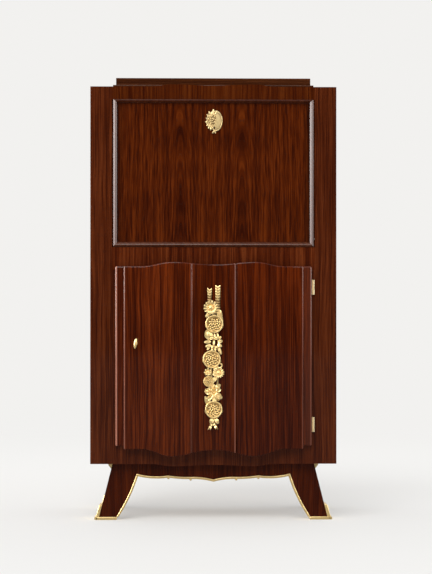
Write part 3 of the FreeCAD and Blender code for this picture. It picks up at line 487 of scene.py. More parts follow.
@dataclass(frozen=True)
class Sycamore:
    """Pale veneer of the inside, with a satin varnish.

    Attributes:
        name: Name of the material.
        upright: Whether the grain stands upright.
        light: Colour of the pale wood.
        dark: Colour of its growth lines.
    """

    name: str
    upright: bool = False
    light: Colour = (0.56, 0.37, 0.19)
    dark: Colour = (0.37, 0.215, 0.095)

    def make(self) -> bpy.types.Material:
        """Builds the material.

        Returns:
            The material.
        """
        material, graph = new_material(self.name)
        x, y, z = graph.place()
        along, across = (z, x + y) if self.upright else (x, y + z)
        wander = graph.noise(graph.vector(along * 2.0, across * 6.0, 0.0), 1.0, 2.0)
        lines = graph.noise(graph.vector(along * 1.5, (across + wander * 0.03) * 90.0, 0.0), 1.0, 3.0)
        flecks = graph.noise(graph.vector(along * 18.0, across * 700.0, 2.0), 1.0, 2.0)
        tone = graph.span(lines * 0.75 + flecks * 0.25, 0.35, 0.68)
        colour = graph.mix(tone, self.light, self.dark)
        graph.surface(Base_Color=colour, Roughness=0.38 + flecks * 0.14, Specular_IOR_Level=0.4,
                      Coat_Weight=0.15, Coat_Roughness=0.3, Normal=graph.bump(flecks, 0.08, 0.0003))
        return material


@dataclass(frozen=True)
class Gilding:
    """Gilt bronze, half matt, with painted shade in its hollows and on its ground.

    Attributes:
        name: Name of the material.
        bright: Colour of the gold on the raised edges.
        hollow_shaded_gold: Colour of the matt gold in the hollows, darkened as painted shade.
        ground_shade: Colour of the painted shade on the ground behind the relief.
        rough: Mean roughness.
        grain: Strength of the chased surface.
        metal: Share of metallic shine; the rest is the powdery matt of the gilding.
        ground: Depths, in metres, of the ground that painted shade darkens and of the relief above it.
    """

    name: str
    bright: Colour = (1.0, 0.745, 0.335)
    hollow_shaded_gold: Colour = (0.69, 0.41, 0.13)
    ground_shade: Colour = (0.13, 0.055, 0.012)
    rough: float = 0.34
    grain: float = 0.25
    metal: float = 0.62
    ground: tuple[float, float] | None = None

    def make(self) -> bpy.types.Material:
        """Builds the material.

        Returns:
            The material.
        """
        material, graph = new_material(self.name)
        x, y, z = graph.place()
        cloud = graph.noise(graph.vector(x, y, z), 90.0, 3.0)
        chasing = graph.noise(graph.vector(x, y, z), 900.0, 3.0)
        edges = Value(graph, graph.node("ShaderNodeNewGeometry", {}, {}).outputs["Pointiness"])
        # Painted light on the raised edges and painted shade in the hollows, found by pointiness; the same
        # mask also makes the hollows rougher, as matt gilding is.
        painted_edge_light = graph.span(edges + (cloud - 0.5) * 0.06, 0.44, 0.53)
        colour = graph.mix(painted_edge_light, self.hollow_shaded_gold, self.bright)
        if self.ground is not None:
            # Painted shade on the ground behind the relief.
            colour = graph.mix(graph.span(y, *self.ground), self.ground_shade, colour)
        rough = self.rough + (1 - painted_edge_light) * 0.16 + (chasing - 0.5) * 0.12
        graph.surface(Base_Color=colour, Metallic=self.metal, Roughness=rough,
                      Normal=graph.bump(chasing, self.grain, 0.0004))
        return material


@dataclass(frozen=True)
class BrushedMetal:
    """Plain metal with fine brush lines along one axis.

    Attributes:
        name: Name of the material.
        colour: Colour of the metal.
        rough: Mean roughness.
        dull: Tone of its duller spots.
    """

    name: str
    colour: Colour
    rough: float
    dull: float = 0.72

    def make(self) -> bpy.types.Material:
        """Builds the material.

        Returns:
            The material.
        """
        material, graph = new_material(self.name)
        x, y, z = graph.place()
        brush = graph.noise(graph.vector(x * 60.0, y * 1500.0, z * 1500.0), 1.0, 3.0)
        cloud = graph.noise(graph.vector(x, y, z), 40.0, 2.0)
        dim = tuple(part * self.dull for part in self.colour)
        colour = graph.mix(graph.span(cloud, 0.3, 0.7), dim, self.colour)
        graph.surface(Base_Color=colour, Metallic=1.0, Roughness=self.rough + (brush - 0.5) * 0.2,
                      Normal=graph.bump(brush, 0.05, 0.0002))
        return material


@dataclass(frozen=True)
class ClearGlass:
    """Clear shelf glass with faint smears.

    Attributes:
        name: Name of the material.
        tint: Colour of the glass.
        smeared: Roughness of the smears.
    """

    name: str
    tint: Colour = (0.90, 0.97, 0.94)
    smeared: float = 0.06

    def make(self) -> bpy.types.Material:
        """Builds the material.

        Returns:
            The material.
        """
        material, graph = new_material(self.name)
        x, y, z = graph.place()
        smear = graph.noise(graph.vector(x * 7.0, y * 11.0, z), 1.0, 4.0)
        rough = graph.span(smear, 0.5, 0.8, 0.0, self.smeared)
        graph.surface(Base_Color=(*self.tint, 1.0), Roughness=rough, IOR=1.5, Transmission_Weight=1.0)
        return material


@dataclass(frozen=True)
class SilveredGlass:
    """Mirror, a little foxed.

    Attributes:
        name: Name of the material.
        silver: Colour of the silvering.
        foxed: Colour of its spots.
    """

    name: str
    silver: Colour = (0.86, 0.87, 0.86)
    foxed: Colour = (0.45, 0.41, 0.35)

    def make(self) -> bpy.types.Material:
        """Builds the material.

        Returns:
            The material.
        """
        material, graph = new_material(self.name)
        x, _, z = graph.place()
        fox = graph.span(graph.noise(graph.vector(x * 9.0, z * 9.0, 0.0), 1.0, 5.0), 0.62, 0.8)
        colour = graph.mix(fox * 0.5, self.silver, self.foxed)
        graph.surface(Base_Color=colour, Metallic=1.0, Roughness=fox * 0.12 + 0.015)
        return material


# The flap's sunk field has painted shade along its sides and top.
FLAP_VENEER = Mahogany(
    "flap_veneer", Figure.FLAME, dark=(0.033, 0.0042, 0.0005), middle=(0.072, 0.0104, 0.0009),
    light=(0.130, 0.0226, 0.0023), stripe=135.0, streaks=(4.0, 14.0), bands=0.4, shift=0.7,
    rim=(0.326, 1.4290))
FRAME_VENEER = Mahogany(
    "frame_veneer", dark=(0.043, 0.0068, 0.0015), middle=(0.080, 0.0143, 0.0030),
    light=(0.128, 0.0270, 0.0064))
TOP_VENEER = replace(FRAME_VENEER, name="top_veneer", figure=Figure.LEVEL)
# The door veneers carry painted highlights on their creases and board edges, and painted shade towards the
# floor.
RIGHT_DOOR_VENEER = Mahogany(
    "door_veneer", dark=(0.036, 0.0040, 0.0005), middle=(0.074, 0.0094, 0.0009),
    light=(0.144, 0.0215, 0.0025), shift=3.1, shade=0.70,
    painted_edge_light=((-0.3025, 0.0036, 0.40), (0.3025, 0.0036, 0.18), (-0.0758, 0.0034, 0.32), (0.0722, 0.0034, 0.32)))
LEFT_DOOR_VENEER = replace(
    RIGHT_DOOR_VENEER, name="door_left_veneer", dark=(0.040, 0.0048, 0.0006),
    middle=(0.088, 0.0122, 0.0014), light=(0.172, 0.0275, 0.0036))
CENTRE_DOOR_VENEER = replace(
    RIGHT_DOOR_VENEER, name="door_centre_veneer", dark=(0.037, 0.0044, 0.0005),
    middle=(0.080, 0.0108, 0.0010), light=(0.160, 0.0255, 0.0028))
BOARD_VENEER = replace(
    RIGHT_DOOR_VENEER, name="door_board_veneer",
    painted_edge_light=((-0.3304, 0.0042, 0.85), (0.3316, 0.0042, 0.20), (0.3190, 0.0180, 0.05)))
# Darker than the carcass veneers, in part as painted shade under the carcass near the floor.
BASE_VENEER = Mahogany(
    "base_veneer", dark=(0.027, 0.0036, 0.0005), middle=(0.048, 0.0064, 0.0008),
    light=(0.076, 0.0120, 0.0016), shift=5.7, polish=0.3, shade=1.0)
RAIL_VENEER = Mahogany(
    "rail_veneer", dark=(0.048, 0.0064, 0.0009), middle=(0.095, 0.0153, 0.0025),
    light=(0.164, 0.0350, 0.0075), shift=6.4)
TOP_RAIL_VENEER = replace(
    RAIL_VENEER, name="top_rail_veneer", dark=(0.040, 0.0052, 0.0005), middle=(0.071, 0.0114, 0.0010),
    light=(0.114, 0.0235, 0.0030))
PLINTH_VENEER = Mahogany(
    "plinth_veneer", Figure.LEVEL, dark=(0.044, 0.0100, 0.0026), middle=(0.068, 0.0180, 0.0048),
    light=(0.104, 0.0290, 0.0080), shift=8.2)
# Copies of one bead with painted light and painted shade: the side beads warmer to tint their painted
# highlight, the bottom bead lighter as painted light on its upturned face, the top bead darker as painted
# shade.
SIDE_BEAD_PAINTED_LIGHT = Mahogany(
    "side_bead_painted_light", dark=(0.060, 0.013, 0.0056), middle=(0.090, 0.022, 0.0100), light=(0.125, 0.034, 0.0160),
    shift=1.9, polish=0.8, foot_shade_depth=-0.1712)
LOW_BEAD_PAINTED_LIGHT = replace(
    SIDE_BEAD_PAINTED_LIGHT, name="low_bead_painted_light", dark=(0.060, 0.014, 0.0050), middle=(0.090, 0.024, 0.0090),
    light=(0.120, 0.036, 0.0150), polish=0.5, foot_shade_depth=None)
TOP_BEAD_PAINTED_SHADE = replace(
    SIDE_BEAD_PAINTED_LIGHT, name="top_bead_painted_shade", dark=(0.034, 0.006, 0.0018), middle=(0.055, 0.011, 0.0028),
    light=(0.080, 0.019, 0.0050), polish=0.4, foot_shade_depth=None)
PALE_VENEER = Sycamore("pale_veneer")
PALE_UPRIGHT = Sycamore("pale_veneer_upright", upright=True)
GILT = Gilding("gilt_bronze")
# The garland, the lock plate and the hinges have painted shade on the ground behind their relief.
GARLAND_GILT = replace(GILT, name="garland_gilt", ground=(-0.2082, -0.2134))
PLATE_GILT = replace(
    GILT, name="lock_plate_gilt", bright=(0.84, 0.64, 0.31), hollow_shaded_gold=(0.52, 0.34, 0.12), rough=0.45, metal=0.36,
    ground=(-0.1675, -0.1700))
HINGE_GILT = replace(GILT, name="hinge_gilt", bright=(1.0, 0.82, 0.50), ground=(-0.1770, -0.1785))
POLISHED_BRASS = BrushedMetal("polished_brass", (0.80, 0.58, 0.25), 0.24)
LOCK_STEEL = BrushedMetal("lock_steel", (0.50, 0.49, 0.47), 0.34)
SHELF_GLASS = ClearGlass("shelf_glass")
BAR_MIRROR = SilveredGlass("bar_mirror_silver")

NODE_FINISHES: dict[Any, tuple[str, ...]] = {
    FRAME_VENEER: ("left_side_panel", "right_side_panel", "left_stile", "right_stile", "bottom_rail",
                   "left_door_jamb", "right_door_jamb"),
    TOP_VENEER: ("top_board",),
    RAIL_VENEER: ("middle_rail",),
    TOP_RAIL_VENEER: ("top_rail",),
    FLAP_VENEER: ("flap_panel",),
    PLINTH_VENEER: ("top_plinth",),
    BASE_VENEER: ("front_apron", "rear_apron", "left_apron", "right_apron", "front_left_leg",
                  "front_right_leg", "rear_left_leg", "rear_right_leg"),
    PALE_VENEER: ("bar_floor", "flap_stop_batten", "cupboard_shelf", "cupboard_ceiling", "bottom_board"),
    PALE_UPRIGHT: ("left_bar_lining", "right_bar_lining", "flap_lining", "back_panel"),
    GILT: ("door_knob_rose",),
    HINGE_GILT: ("door_hinge_door_leaves", "door_hinge_frame_leaves"),
    POLISHED_BRASS: ("shelf_pins", "left_stay", "right_stay", "stay_guides", "strike_plates",
                     "flap_pivot_bushes"),
    LOCK_STEEL: ("flap_pivot_pins", "flap_lock_case", "door_lock_case", "flap_lock_bolt", "door_bolt"),
    SHELF_GLASS: ("glass_shelf",),
    BAR_MIRROR: ("bar_mirror",),
}


class FinishStore:
    """Makes each finish once and hands out its material."""

    def __init__(self) -> None:
        """Starts with no material made."""
        self.made: dict[Any, bpy.types.Material] = {}

    def get(self, finish: Any) -> bpy.types.Material:
        """Finds or makes a material.

        Args:
            finish: The finish.

        Returns:
            Its material.
        """
        if finish not in self.made:
            self.made[finish] = finish.make()
        return self.made[finish]

    def dress(self, piece: bpy.types.Object, finish: Any) -> None:
        """Gives a piece one finish all over.

        Args:
            piece: The piece.
            finish: Its finish.
        """
        piece.data.materials.clear()
        piece.data.materials.append(self.get(finish))


# Places in the frame

class Side(Enum):
    """Sides of a CAD node's box, each as its corner and the axis on that corner."""

    LEFT = (0, 0)
    RIGHT = (1, 0)
    FRONT = (0, 1)
    BACK = (1, 1)
    BOTTOM = (0, 2)
    TOP = (1, 2)


def side_of(node: str, side: Side) -> float:
    """Place of one side of a CAD node's box.

    Args:
        node: Name of the node.
        side: Which side.

    Returns:
        The place in millimetres, to the micrometre.
    """
    corner, axis = side.value
    return round(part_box(node)[corner][axis] / MM, 3)


def framed(node: str, side: Side) -> Any:
    """Size of a sub-assembly that is read from the frame when the sub-assembly is made.

    Args:
        node: Name of the CAD node.
        side: Side of the node's box.

    Returns:
        The dataclass field.
    """
    return field(default_factory=lambda: side_of(node, side))


# Modelling

class Bench:
    """Modelling steps with Blender's own operators. All sizes are in millimetres.

    Attributes:
        MERGED: Points of a moulding that are closer than this become one.
        HOOP_CELLS: Cells round a hoop and round its section.
    """

    MERGED = 0.02
    HOOP_CELLS = (40, 10)

    @staticmethod
    def _name(name: str) -> bpy.types.Object:
        """Names the piece that the last operator made.

        Args:
            name: The name.

        Returns:
            The piece.
        """
        piece = bpy.context.object
        piece.name = name
        piece.data.name = name
        return piece

    @staticmethod
    def pick(pieces: Sequence[bpy.types.Object]) -> None:
        """Selects some pieces alone, the first of them active.

        Args:
            pieces: The pieces.
        """
        bpy.ops.object.select_all(action="DESELECT")
        for piece in pieces:
            piece.select_set(True)
        bpy.context.view_layer.objects.active = pieces[0]

    @classmethod
    def sheet(cls, name: str, columns: int, rows: int,
              shape: Callable[[float, float], Vector]) -> bpy.types.Object:
        """Grid whose points are laid on a surface.

        Args:
            name: Name of the piece.
            columns: Cells along the first direction.
            rows: Cells along the second direction.
            shape: Gives the point for two shares between 0 and 1.

        Returns:
            The open sheet.
        """
        bpy.ops.object.select_all(action="DESELECT")
        bpy.ops.mesh.primitive_grid_add(x_subdivisions=columns, y_subdivisions=rows, size=1.0)
        piece = cls._name(name)
        for vertex in piece.data.vertices:
            vertex.co = shape(vertex.co.x + 0.5, vertex.co.y + 0.5) * MM
        return piece

    @classmethod
    def thicken(cls, piece: bpy.types.Object, move: Vector, flat: float | None = None) -> None:
        """Extrudes a sheet to a closed body.

        Args:
            piece: The sheet.
            move: Way of the extrusion.
            flat: Depth at which the new side is made flat, if it is.
        """
        cls.pick([piece])
        bpy.ops.object.mode_set(mode="EDIT")
        bpy.ops.mesh.select_all(action="SELECT")
        bpy.ops.mesh.extrude_region_move(TRANSFORM_OT_translate={"value": move * MM})
        if flat is not None:
            bpy.ops.transform.resize(value=(1.0, 0.0, 1.0), center_override=(0.0, flat * MM, 0.0))
        bpy.ops.object.mode_set(mode="OBJECT")

    @classmethod
    def prism(cls, name: str, outline: Sequence[Vector], length: float) -> bpy.types.Object:
        """Straight bar that runs from an outline to the back.

        Args:
            name: Name of the piece.
            outline: Its front section.
            length: Its length.

        Returns:
            The closed bar.
        """
        return cls.bar(name, outline, [corner + Vector((0.0, length, 0.0)) for corner in outline])

    @classmethod
    def bar(cls, name: str, start: Sequence[Vector], end: Sequence[Vector]) -> bpy.types.Object:
        """Straight bar between two sections with the same number of points.

        Args:
            name: Name of the piece.
            start: Section at one end.
            end: Section at the other end.

        Returns:
            The closed bar.
        """
        count = len(start)
        bpy.ops.object.select_all(action="DESELECT")
        bpy.ops.mesh.primitive_cylinder_add(vertices=count, radius=1.0, depth=2.0, end_fill_type="NGON")
        piece = cls._name(name)
        for vertex in piece.data.vertices:
            index = round(math.atan2(vertex.co.x, vertex.co.y) / math.tau * count) % count
            vertex.co = (start if vertex.co.z < 0 else end)[index] * MM
        return piece

    @classmethod
    def sweep(cls, name: str, rings: Sequence[Sequence[Vector]]) -> bpy.types.Object:
        """Moulding through sections with the same number of points.

        Args:
            name: Name of the piece.
            rings: The sections, each a closed outline.

        Returns:
            The closed moulding.
        """
        across, along = len(rings[0]), len(rings) - 1

        def face(u: float, v: float) -> Vector:
            """Point of the moulding for two shares."""
            return rings[round(v * along)][round(u * across) % across]

        piece = cls.sheet(name, across, along, face)
        cls.pick([piece])
        bpy.ops.object.mode_set(mode="EDIT")
        bpy.ops.mesh.select_all(action="SELECT")
        bpy.ops.mesh.remove_doubles(threshold=cls.MERGED * MM)
        bpy.ops.mesh.select_all(action="SELECT")
        bpy.ops.mesh.fill_holes(sides=0)
        bpy.ops.object.mode_set(mode="OBJECT")
        return piece

    @classmethod
    def ball(cls, name: str, centre: Vector, radii: Vector, fine: int = 12) -> bpy.types.Object:
        """Ball or egg.

        Args:
            name: Name of the piece.
            centre: Its centre.
            radii: Its half sizes.
            fine: Rings from pole to pole.

        Returns:
            The piece.
        """
        bpy.ops.object.select_all(action="DESELECT")
        bpy.ops.mesh.primitive_uv_sphere_add(segments=2 * fine, ring_count=fine, radius=1.0)
        piece = cls._name(name)
        piece.data.transform(Matrix.Translation(centre * MM) @ Matrix.Diagonal((*(radii * MM), 1.0)))
        return piece

    @classmethod
    def rod(cls, name: str, start: Vector, end: Vector, radius: float, sides: int = 32) -> bpy.types.Object:
        """Round rod.

        Args:
            name: Name of the piece.
            start: Middle of one end.
            end: Middle of the other end.
            radius: Its radius.
            sides: Flats round it.

        Returns:
            The piece.
        """
        along = end - start
        bpy.ops.object.select_all(action="DESELECT")
        bpy.ops.mesh.primitive_cylinder_add(vertices=sides, radius=radius * MM, depth=along.length * MM)
        piece = cls._name(name)
        turn = along.to_track_quat("Z", "Y").to_matrix().to_4x4()
        piece.data.transform(Matrix.Translation((start + end) / 2 * MM) @ turn)
        return piece

    @classmethod
    def hoop(cls, name: str, radius: float, thickness: float, place: Matrix) -> bpy.types.Object:
        """Round ring.

        Args:
            name: Name of the piece.
            radius: Radius of its middle line.
            thickness: Radius of its section.
            place: Where it lies, in metres; it is made level.

        Returns:
            The piece.
        """
        around, section = cls.HOOP_CELLS
        bpy.ops.object.select_all(action="DESELECT")
        bpy.ops.mesh.primitive_torus_add(major_radius=radius * MM, minor_radius=thickness * MM,
                                         major_segments=around, minor_segments=section)
        piece = cls._name(name)
        piece.data.transform(place)
        return piece

    @classmethod
    def copies(cls, piece: bpy.types.Object, places: Sequence[Matrix]) -> list[bpy.types.Object]:
        """Repeats a piece, each copy with a mesh of its own, and drops the pattern.

        Args:
            piece: The pattern.
            places: Where each copy goes, in metres.

        Returns:
            The copies.
        """
        made = []
        for place in places:
            cls.pick([piece])
            bpy.ops.object.duplicate(linked=False)
            copy = bpy.context.object
            copy.data.transform(place)
            made.append(copy)
        bpy.data.objects.remove(piece, do_unlink=True)
        return made

    @classmethod
    def join(cls, name: str, pieces: Sequence[bpy.types.Object]) -> bpy.types.Object:
        """Joins pieces to one object.

        Args:
            name: Name of the object.
            pieces: Its pieces.

        Returns:
            The object.
        """
        cls.pick(pieces)
        if len(pieces) > 1:
            bpy.ops.object.join()
        return cls._name(name)

    @classmethod
    def modify(cls, piece: bpy.types.Object, kind: str, **settings: Any) -> None:
        """Adds a modifier and applies it.

        Args:
            piece: The piece.
            kind: Type of the modifier.
            settings: Its settings.
        """
        cls.pick([piece])
        modifier = piece.modifiers.new(kind.lower(), kind)
        for name, value in settings.items():
            setattr(modifier, name, value)
        bpy.ops.object.modifier_apply(modifier=modifier.name)

    @classmethod
    def soften(cls, piece: bpy.types.Object, width: float, segments: int, angle: float) -> None:
        """Rounds the sharp edges of a piece.

        Args:
            piece: The piece.
            width: Width of the rounding.
            segments: Its cells.
            angle: Edges sharper than this are rounded, in degrees.
        """
        cls.modify(piece, "BEVEL", width=width * MM, segments=segments, limit_method="ANGLE",
                   angle_limit=math.radians(angle))

    @classmethod
    def settle(cls, piece: bpy.types.Object, angle: float = 40.0) -> None:
        """Turns the normals outwards and smooths the shading.

        Args:
            piece: The piece.
            angle: Edges sharper than this stay sharp, in degrees.
        """
        cls.pick([piece])
        bpy.ops.object.mode_set(mode="EDIT")
        bpy.ops.mesh.select_all(action="SELECT")
        bpy.ops.mesh.normals_make_consistent(inside=False)
        bpy.ops.object.mode_set(mode="OBJECT")
        bpy.ops.object.shade_smooth_by_angle(angle=math.radians(angle))


def ease(share: float) -> float:
    """Curve that starts and ends level.

    Args:
        share: Share of the way.

    Returns:
        Share of the rise.
    """
    return (1 - math.cos(math.pi * share)) / 2


@dataclass
class Door:
    """Three shaped panels and the rounded board that carries them.

    Attributes:
        board_front: Depth of the board's front.
        board_back: Depth of its back.
        board_half: Its half width.
        board_low: Height of its bottom edge.
        board_high: Height of its top edge.
        reach: Distance of the panels' outer edge from the middle.
        crease: Distance of the creases from the middle.
        crown: Distance of the crowns from the middle.
        hollow: Distance of the hollows from the middle.
        flat: Distance beyond which top and bottom edges are level.
        relief: Relief of outer edge, hollow, crown, crease, centre edge and centre.
        top: Height of the top edge at flat, crown, crease and middle.
        bottom: Height of the bottom edge at flat, crown, crease and middle.
        rounds: Rounding of the edges of a side panel, of the centre panel and of the board.
        cells: Cells across a side panel, across the centre panel and up each of them.
        sharp: Edges sharper than this are rounded, in degrees.
    """

    board_front: float = framed("door_back_board", Side.FRONT)
    board_back: float = framed("door_back_board", Side.BACK)
    board_half: float = framed("door_back_board", Side.RIGHT)
    board_low: float = framed("door_back_board", Side.BOTTOM)
    board_high: float = framed("door_back_board", Side.TOP)
    reach: float = framed("door_right_panel", Side.RIGHT)
    crease: float = framed("door_right_panel", Side.LEFT)
    crown: float = 140.0
    hollow: float = 274.5
    flat: float = 244.0
    relief: tuple[float, ...] = (11.0, 9.5, 28.0, 23.0, 29.0, 17.0)
    top: tuple[float, ...] = (866.5, 880.5, 876.5, 872.5)
    bottom: tuple[float, ...] = (245.5, 222.0, 233.5, 242.5)
    rounds: tuple[float, float, float] = (8.0, 4.5, 9.0)
    cells: tuple[int, int, int] = (40, 24, 4)
    sharp: float = 50.0

    def proud(self, aside: float, centre: bool) -> float:
        """Depth of a panel's front.

        Args:
            aside: Distance from the middle.
            centre: Whether it is the centre panel.

        Returns:
            The depth.
        """
        edge, hollow, crown, crease, rim, middle = self.relief
        if centre:
            relief = middle + (rim - middle) * (aside / self.crease) ** 2
        elif aside > self.hollow:
            relief = hollow + (edge - hollow) * ease((aside - self.hollow) / (self.reach - self.hollow))
        elif aside > self.crown:
            relief = crown + (hollow - crown) * ease((aside - self.crown) / (self.hollow - self.crown))
        else:
            relief = crown + (crease - crown) * ((self.crown - aside) / (self.crown - self.crease)) ** 2
        return self.board_front - relief

    def edge(self, aside: float, heights: tuple[float, ...]) -> float:
        """Height of the top or bottom edge.

        Args:
            aside: Distance from the middle.
            heights: Heights at flat, crown, crease and middle.

        Returns:
            The height.
        """
        flat, crown, crease, middle = heights
        if aside >= self.flat:
            return flat
        if aside > self.crown:
            return crown + (flat - crown) * ease((aside - self.crown) / (self.flat - self.crown))
        if aside > self.crease:
            return crown + (crease - crown) * ((self.crown - aside) / (self.crown - self.crease)) ** 2
        return middle + (crease - middle) * (aside / self.crease) ** 2

    def panel(self, name: str, left: float, right: float) -> bpy.types.Object:
        """One shaped panel.

        Args:
            name: Name of the piece.
            left: Its left edge.
            right: Its right edge.

        Returns:
            The panel.
        """
        centre = left < 0 < right

        def front(u: float, v: float) -> Vector:
            """Point of the front.

            Args:
                u: Share of the width.
                v: Share of the height.

            Returns:
                The point.
            """
            x = left + (right - left) * u
            low, high = self.edge(abs(x), self.bottom), self.edge(abs(x), self.top)
            return Vector((x, self.proud(abs(x), centre), low + (high - low) * v))

        side_cells, centre_cells, rows = self.cells
        side_round, centre_round, _ = self.rounds
        piece = Bench.sheet(name, centre_cells if centre else side_cells, rows, front)
        Bench.thicken(piece, Vector((0.0, 5.0, 0.0)), self.board_front)
        Bench.soften(piece, centre_round if centre else side_round, 6, self.sharp)
        Bench.settle(piece)
        return piece

    def carrier(self, name: str) -> bpy.types.Object:
        """Board with rounded edges behind the panels.

        Args:
            name: Name of the piece.

        Returns:
            The board.
        """
        half, low, high = self.board_half, self.board_low, self.board_high
        corners = ((-half, low), (half, low), (half, high), (-half, high))
        ring = [Vector((x, self.board_back, z)) for x, z in corners]
        piece = Bench.prism(name, ring, self.board_front - self.board_back)
        Bench.settle(piece)
        Bench.soften(piece, self.rounds[2], 8, self.sharp)
        Bench.settle(piece)
        return piece

    def build(self, store: FinishStore) -> list[bpy.types.Object]:
        """Makes the board and the three panels.

        Args:
            store: Where the finishes come from.

        Returns:
            The pieces.
        """
        board = self.carrier("door_back_board_rounded")
        store.dress(board, BOARD_VENEER)
        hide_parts("door_back_board")
        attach(board, "door")
        made = [board]
        for node, left, right, finish in (
                ("door_left_panel", -self.reach, -self.crease, LEFT_DOOR_VENEER),
                ("door_right_panel", self.crease, self.reach, RIGHT_DOOR_VENEER),
                ("door_centre_panel", -self.crease, self.crease, CENTRE_DOOR_VENEER)):
            piece = self.panel(node + "_shaped", left, right)
            store.dress(piece, finish)
            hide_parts(node)
            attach(piece, "door")
            made.append(piece)
        return made


@dataclass
class FlapMoulding:
    """Mitred bead round the flap.

    Attributes:
        half: Half width of the flap over the bead.
        low: Height of its bottom edge.
        high: Height of its top edge.
        width: Width of the bead.
        narrow: Share of that width that the top bead has.
        lip: Width of the outer part that lies in front of the frame.
        crest: Depth of its crest.
        shoulder: Depth of the lip's back.
        foot: Depth of its inner foot.
        back: Depth of its back.
    """

    half: float = 341.5
    low: float = framed("flap_bottom_bead", Side.BOTTOM)
    high: float = 1435.5
    width: float = 16.0
    narrow: float = 0.72
    lip: float = 6.5
    crest: float = -178.25
    shoulder: float = -172.5
    foot: float = -167.75
    back: float = framed("flap_panel", Side.FRONT)

    def section(self) -> list[tuple[float, float]]:
        """Outline of the bead.

        Returns:
            (distance from the outer edge, depth) pairs, closed by the back.
        """
        crest, shoulder, foot, back = self.crest, self.shoulder, self.foot, self.back
        lip = [(self.lip, back), (self.lip, shoulder), (0.0, shoulder), (0.0, shoulder - 0.7)]
        rise = [(1.6, shoulder - 1.3), (5.0, crest + 0.6), (5.8, crest), (6.6, crest + 0.3)]
        fall = [(12.6, shoulder - 0.1), (13.2, shoulder + 0.9), (13.6, foot - 0.4)]
        return lip + rise + fall + [(self.width, foot), (self.width, back)]

    def build(self, store: FinishStore) -> list[bpy.types.Object]:
        """Makes the four beads.

        Args:
            store: Where the finishes come from.

        Returns:
            The beads.
        """
        corners = [(-self.half, self.low, 1.0, 1.0), (-self.half, self.high, 1.0, -self.narrow),
                   (self.half, self.high, -1.0, -self.narrow), (self.half, self.low, -1.0, 1.0)]
        rings = [[Vector((x + way_x * inset, depth, z + way_z * inset)) for inset, depth in self.section()]
                 for x, z, way_x, way_z in corners]
        # Each bead gets the copy painted for the light on its side of the flap.
        finishes = {"flap_left_bead": SIDE_BEAD_PAINTED_LIGHT, "flap_top_bead": TOP_BEAD_PAINTED_SHADE,
                    "flap_right_bead": SIDE_BEAD_PAINTED_LIGHT, "flap_bottom_bead": LOW_BEAD_PAINTED_LIGHT}
        made = []
        for start, end, (node, finish) in zip(rings, rings[1:] + rings[:1], finishes.items()):
            piece = Bench.bar(node + "_moulded", start, end)
            Bench.settle(piece, 50.0)
            store.dress(piece, finish)
            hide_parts(node)
            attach(piece, "flap")
            made.append(piece)
        return made


def on_front(x: float, depth: float, z: float, turn: float = 0.0) -> Matrix:
    """Place of an ornament whose own z axis points out of the front.

    Args:
        x: Place along the width.
        depth: Depth of its seat.
        z: Height.
        turn: Turn in the plane of the front, in degrees from +x towards +z.

    Returns:
        The place, in metres.
    """
    move = Matrix.Translation(Vector((x, depth, z)) * MM)
    stand = Matrix.Rotation(math.pi / 2, 4, "X")
    return move @ stand @ Matrix.Rotation(math.radians(turn), 4, "Z")


@dataclass(frozen=True)
class Blade:
    """Petal or leaf that lies along its own x axis.

    Attributes:
        root: Distance of its root from the centre it grows from.
        length: Its length.
        width: Its greatest width.
        rise: Height of its crest over its root.
        bend: How far the rise follows a half wave; above 1.6 the tip turns down again.
        swell: Share of the length at which it is widest.
        point: Above 1 it ends in a point, below 1 it is blunt.
        cup: Height of its rims over its middle.
        rib: Height of its midrib.
        seat: Height of its root.
        thick: Its thickness.
        cut: Shares of the outline that are cut off at its root and at its tip, so that both have a width.
        rib_width: Share of the width that the midrib takes.
    """

    root: float
    length: float
    width: float
    rise: float
    bend: float = 1.9
    swell: float = 0.55
    point: float = 0.7
    cup: float = 1.0
    rib: float = 0.0
    seat: float = 1.0
    thick: float = 2.2
    cut: tuple[float, float] = (0.03, 0.02)
    rib_width: float = 0.3

    def front(self, u: float, v: float) -> Vector:
        """Point of the face.

        Args:
            u: Share of the length.
            v: Share of the width.

        Returns:
            The point.
        """
        along = self.cut[0] + (1 - self.cut[0] - self.cut[1]) * u
        aside = 2 * v - 1
        ahead = (along / self.swell) ** self.swell * ((1 - along) / (1 - self.swell)) ** (1 - self.swell)
        half = self.width / 2 * ahead ** self.point
        height = self.seat + self.rise * math.sin(along * self.bend) + self.cup * aside * aside * ahead
        height += self.rib * max(0.0, 1 - (aside / self.rib_width) ** 2) * ahead
        return Vector((self.root + self.length * along, half * aside, height))

    def make(self, fine: int = 8) -> bpy.types.Object:
        """Builds the blade.

        Args:
            fine: Cells along it.

        Returns:
            The closed blade.
        """
        piece = Bench.sheet("blade", fine, 8 if self.rib else 6, self.front)
        Bench.thicken(piece, Vector((0.0, 0.0, -self.thick)))
        return piece

    def ring(self, count: int, start: float = 0.0) -> list[bpy.types.Object]:
        """Blades round one centre.

        Args:
            count: How many.
            start: Direction of the first, in degrees.

        Returns:
            The blades.
        """
        turns = [math.radians(start) + math.tau * index / count for index in range(count)]
        return Bench.copies(self.make(), [Matrix.Rotation(turn, 4, "Z") for turn in turns])


SPIRAL_TURN = 2.4


def spiral(count: int, start: float) -> list[tuple[float, float]]:
    """Spots that fill a round field evenly, as seeds do.

    Args:
        count: How many.
        start: Where the first one lies, in steps from the middle.

    Returns:
        (direction in radians, share of the field's radius) pairs.
    """
    return [(SPIRAL_TURN * step, math.sqrt((step + start) / count)) for step in range(count)]


class Bloom(Enum):
    """Kinds of flower on the mounts."""

    ROSE = "rose"
    DAISY = "daisy"
    WHORL = "whorl"


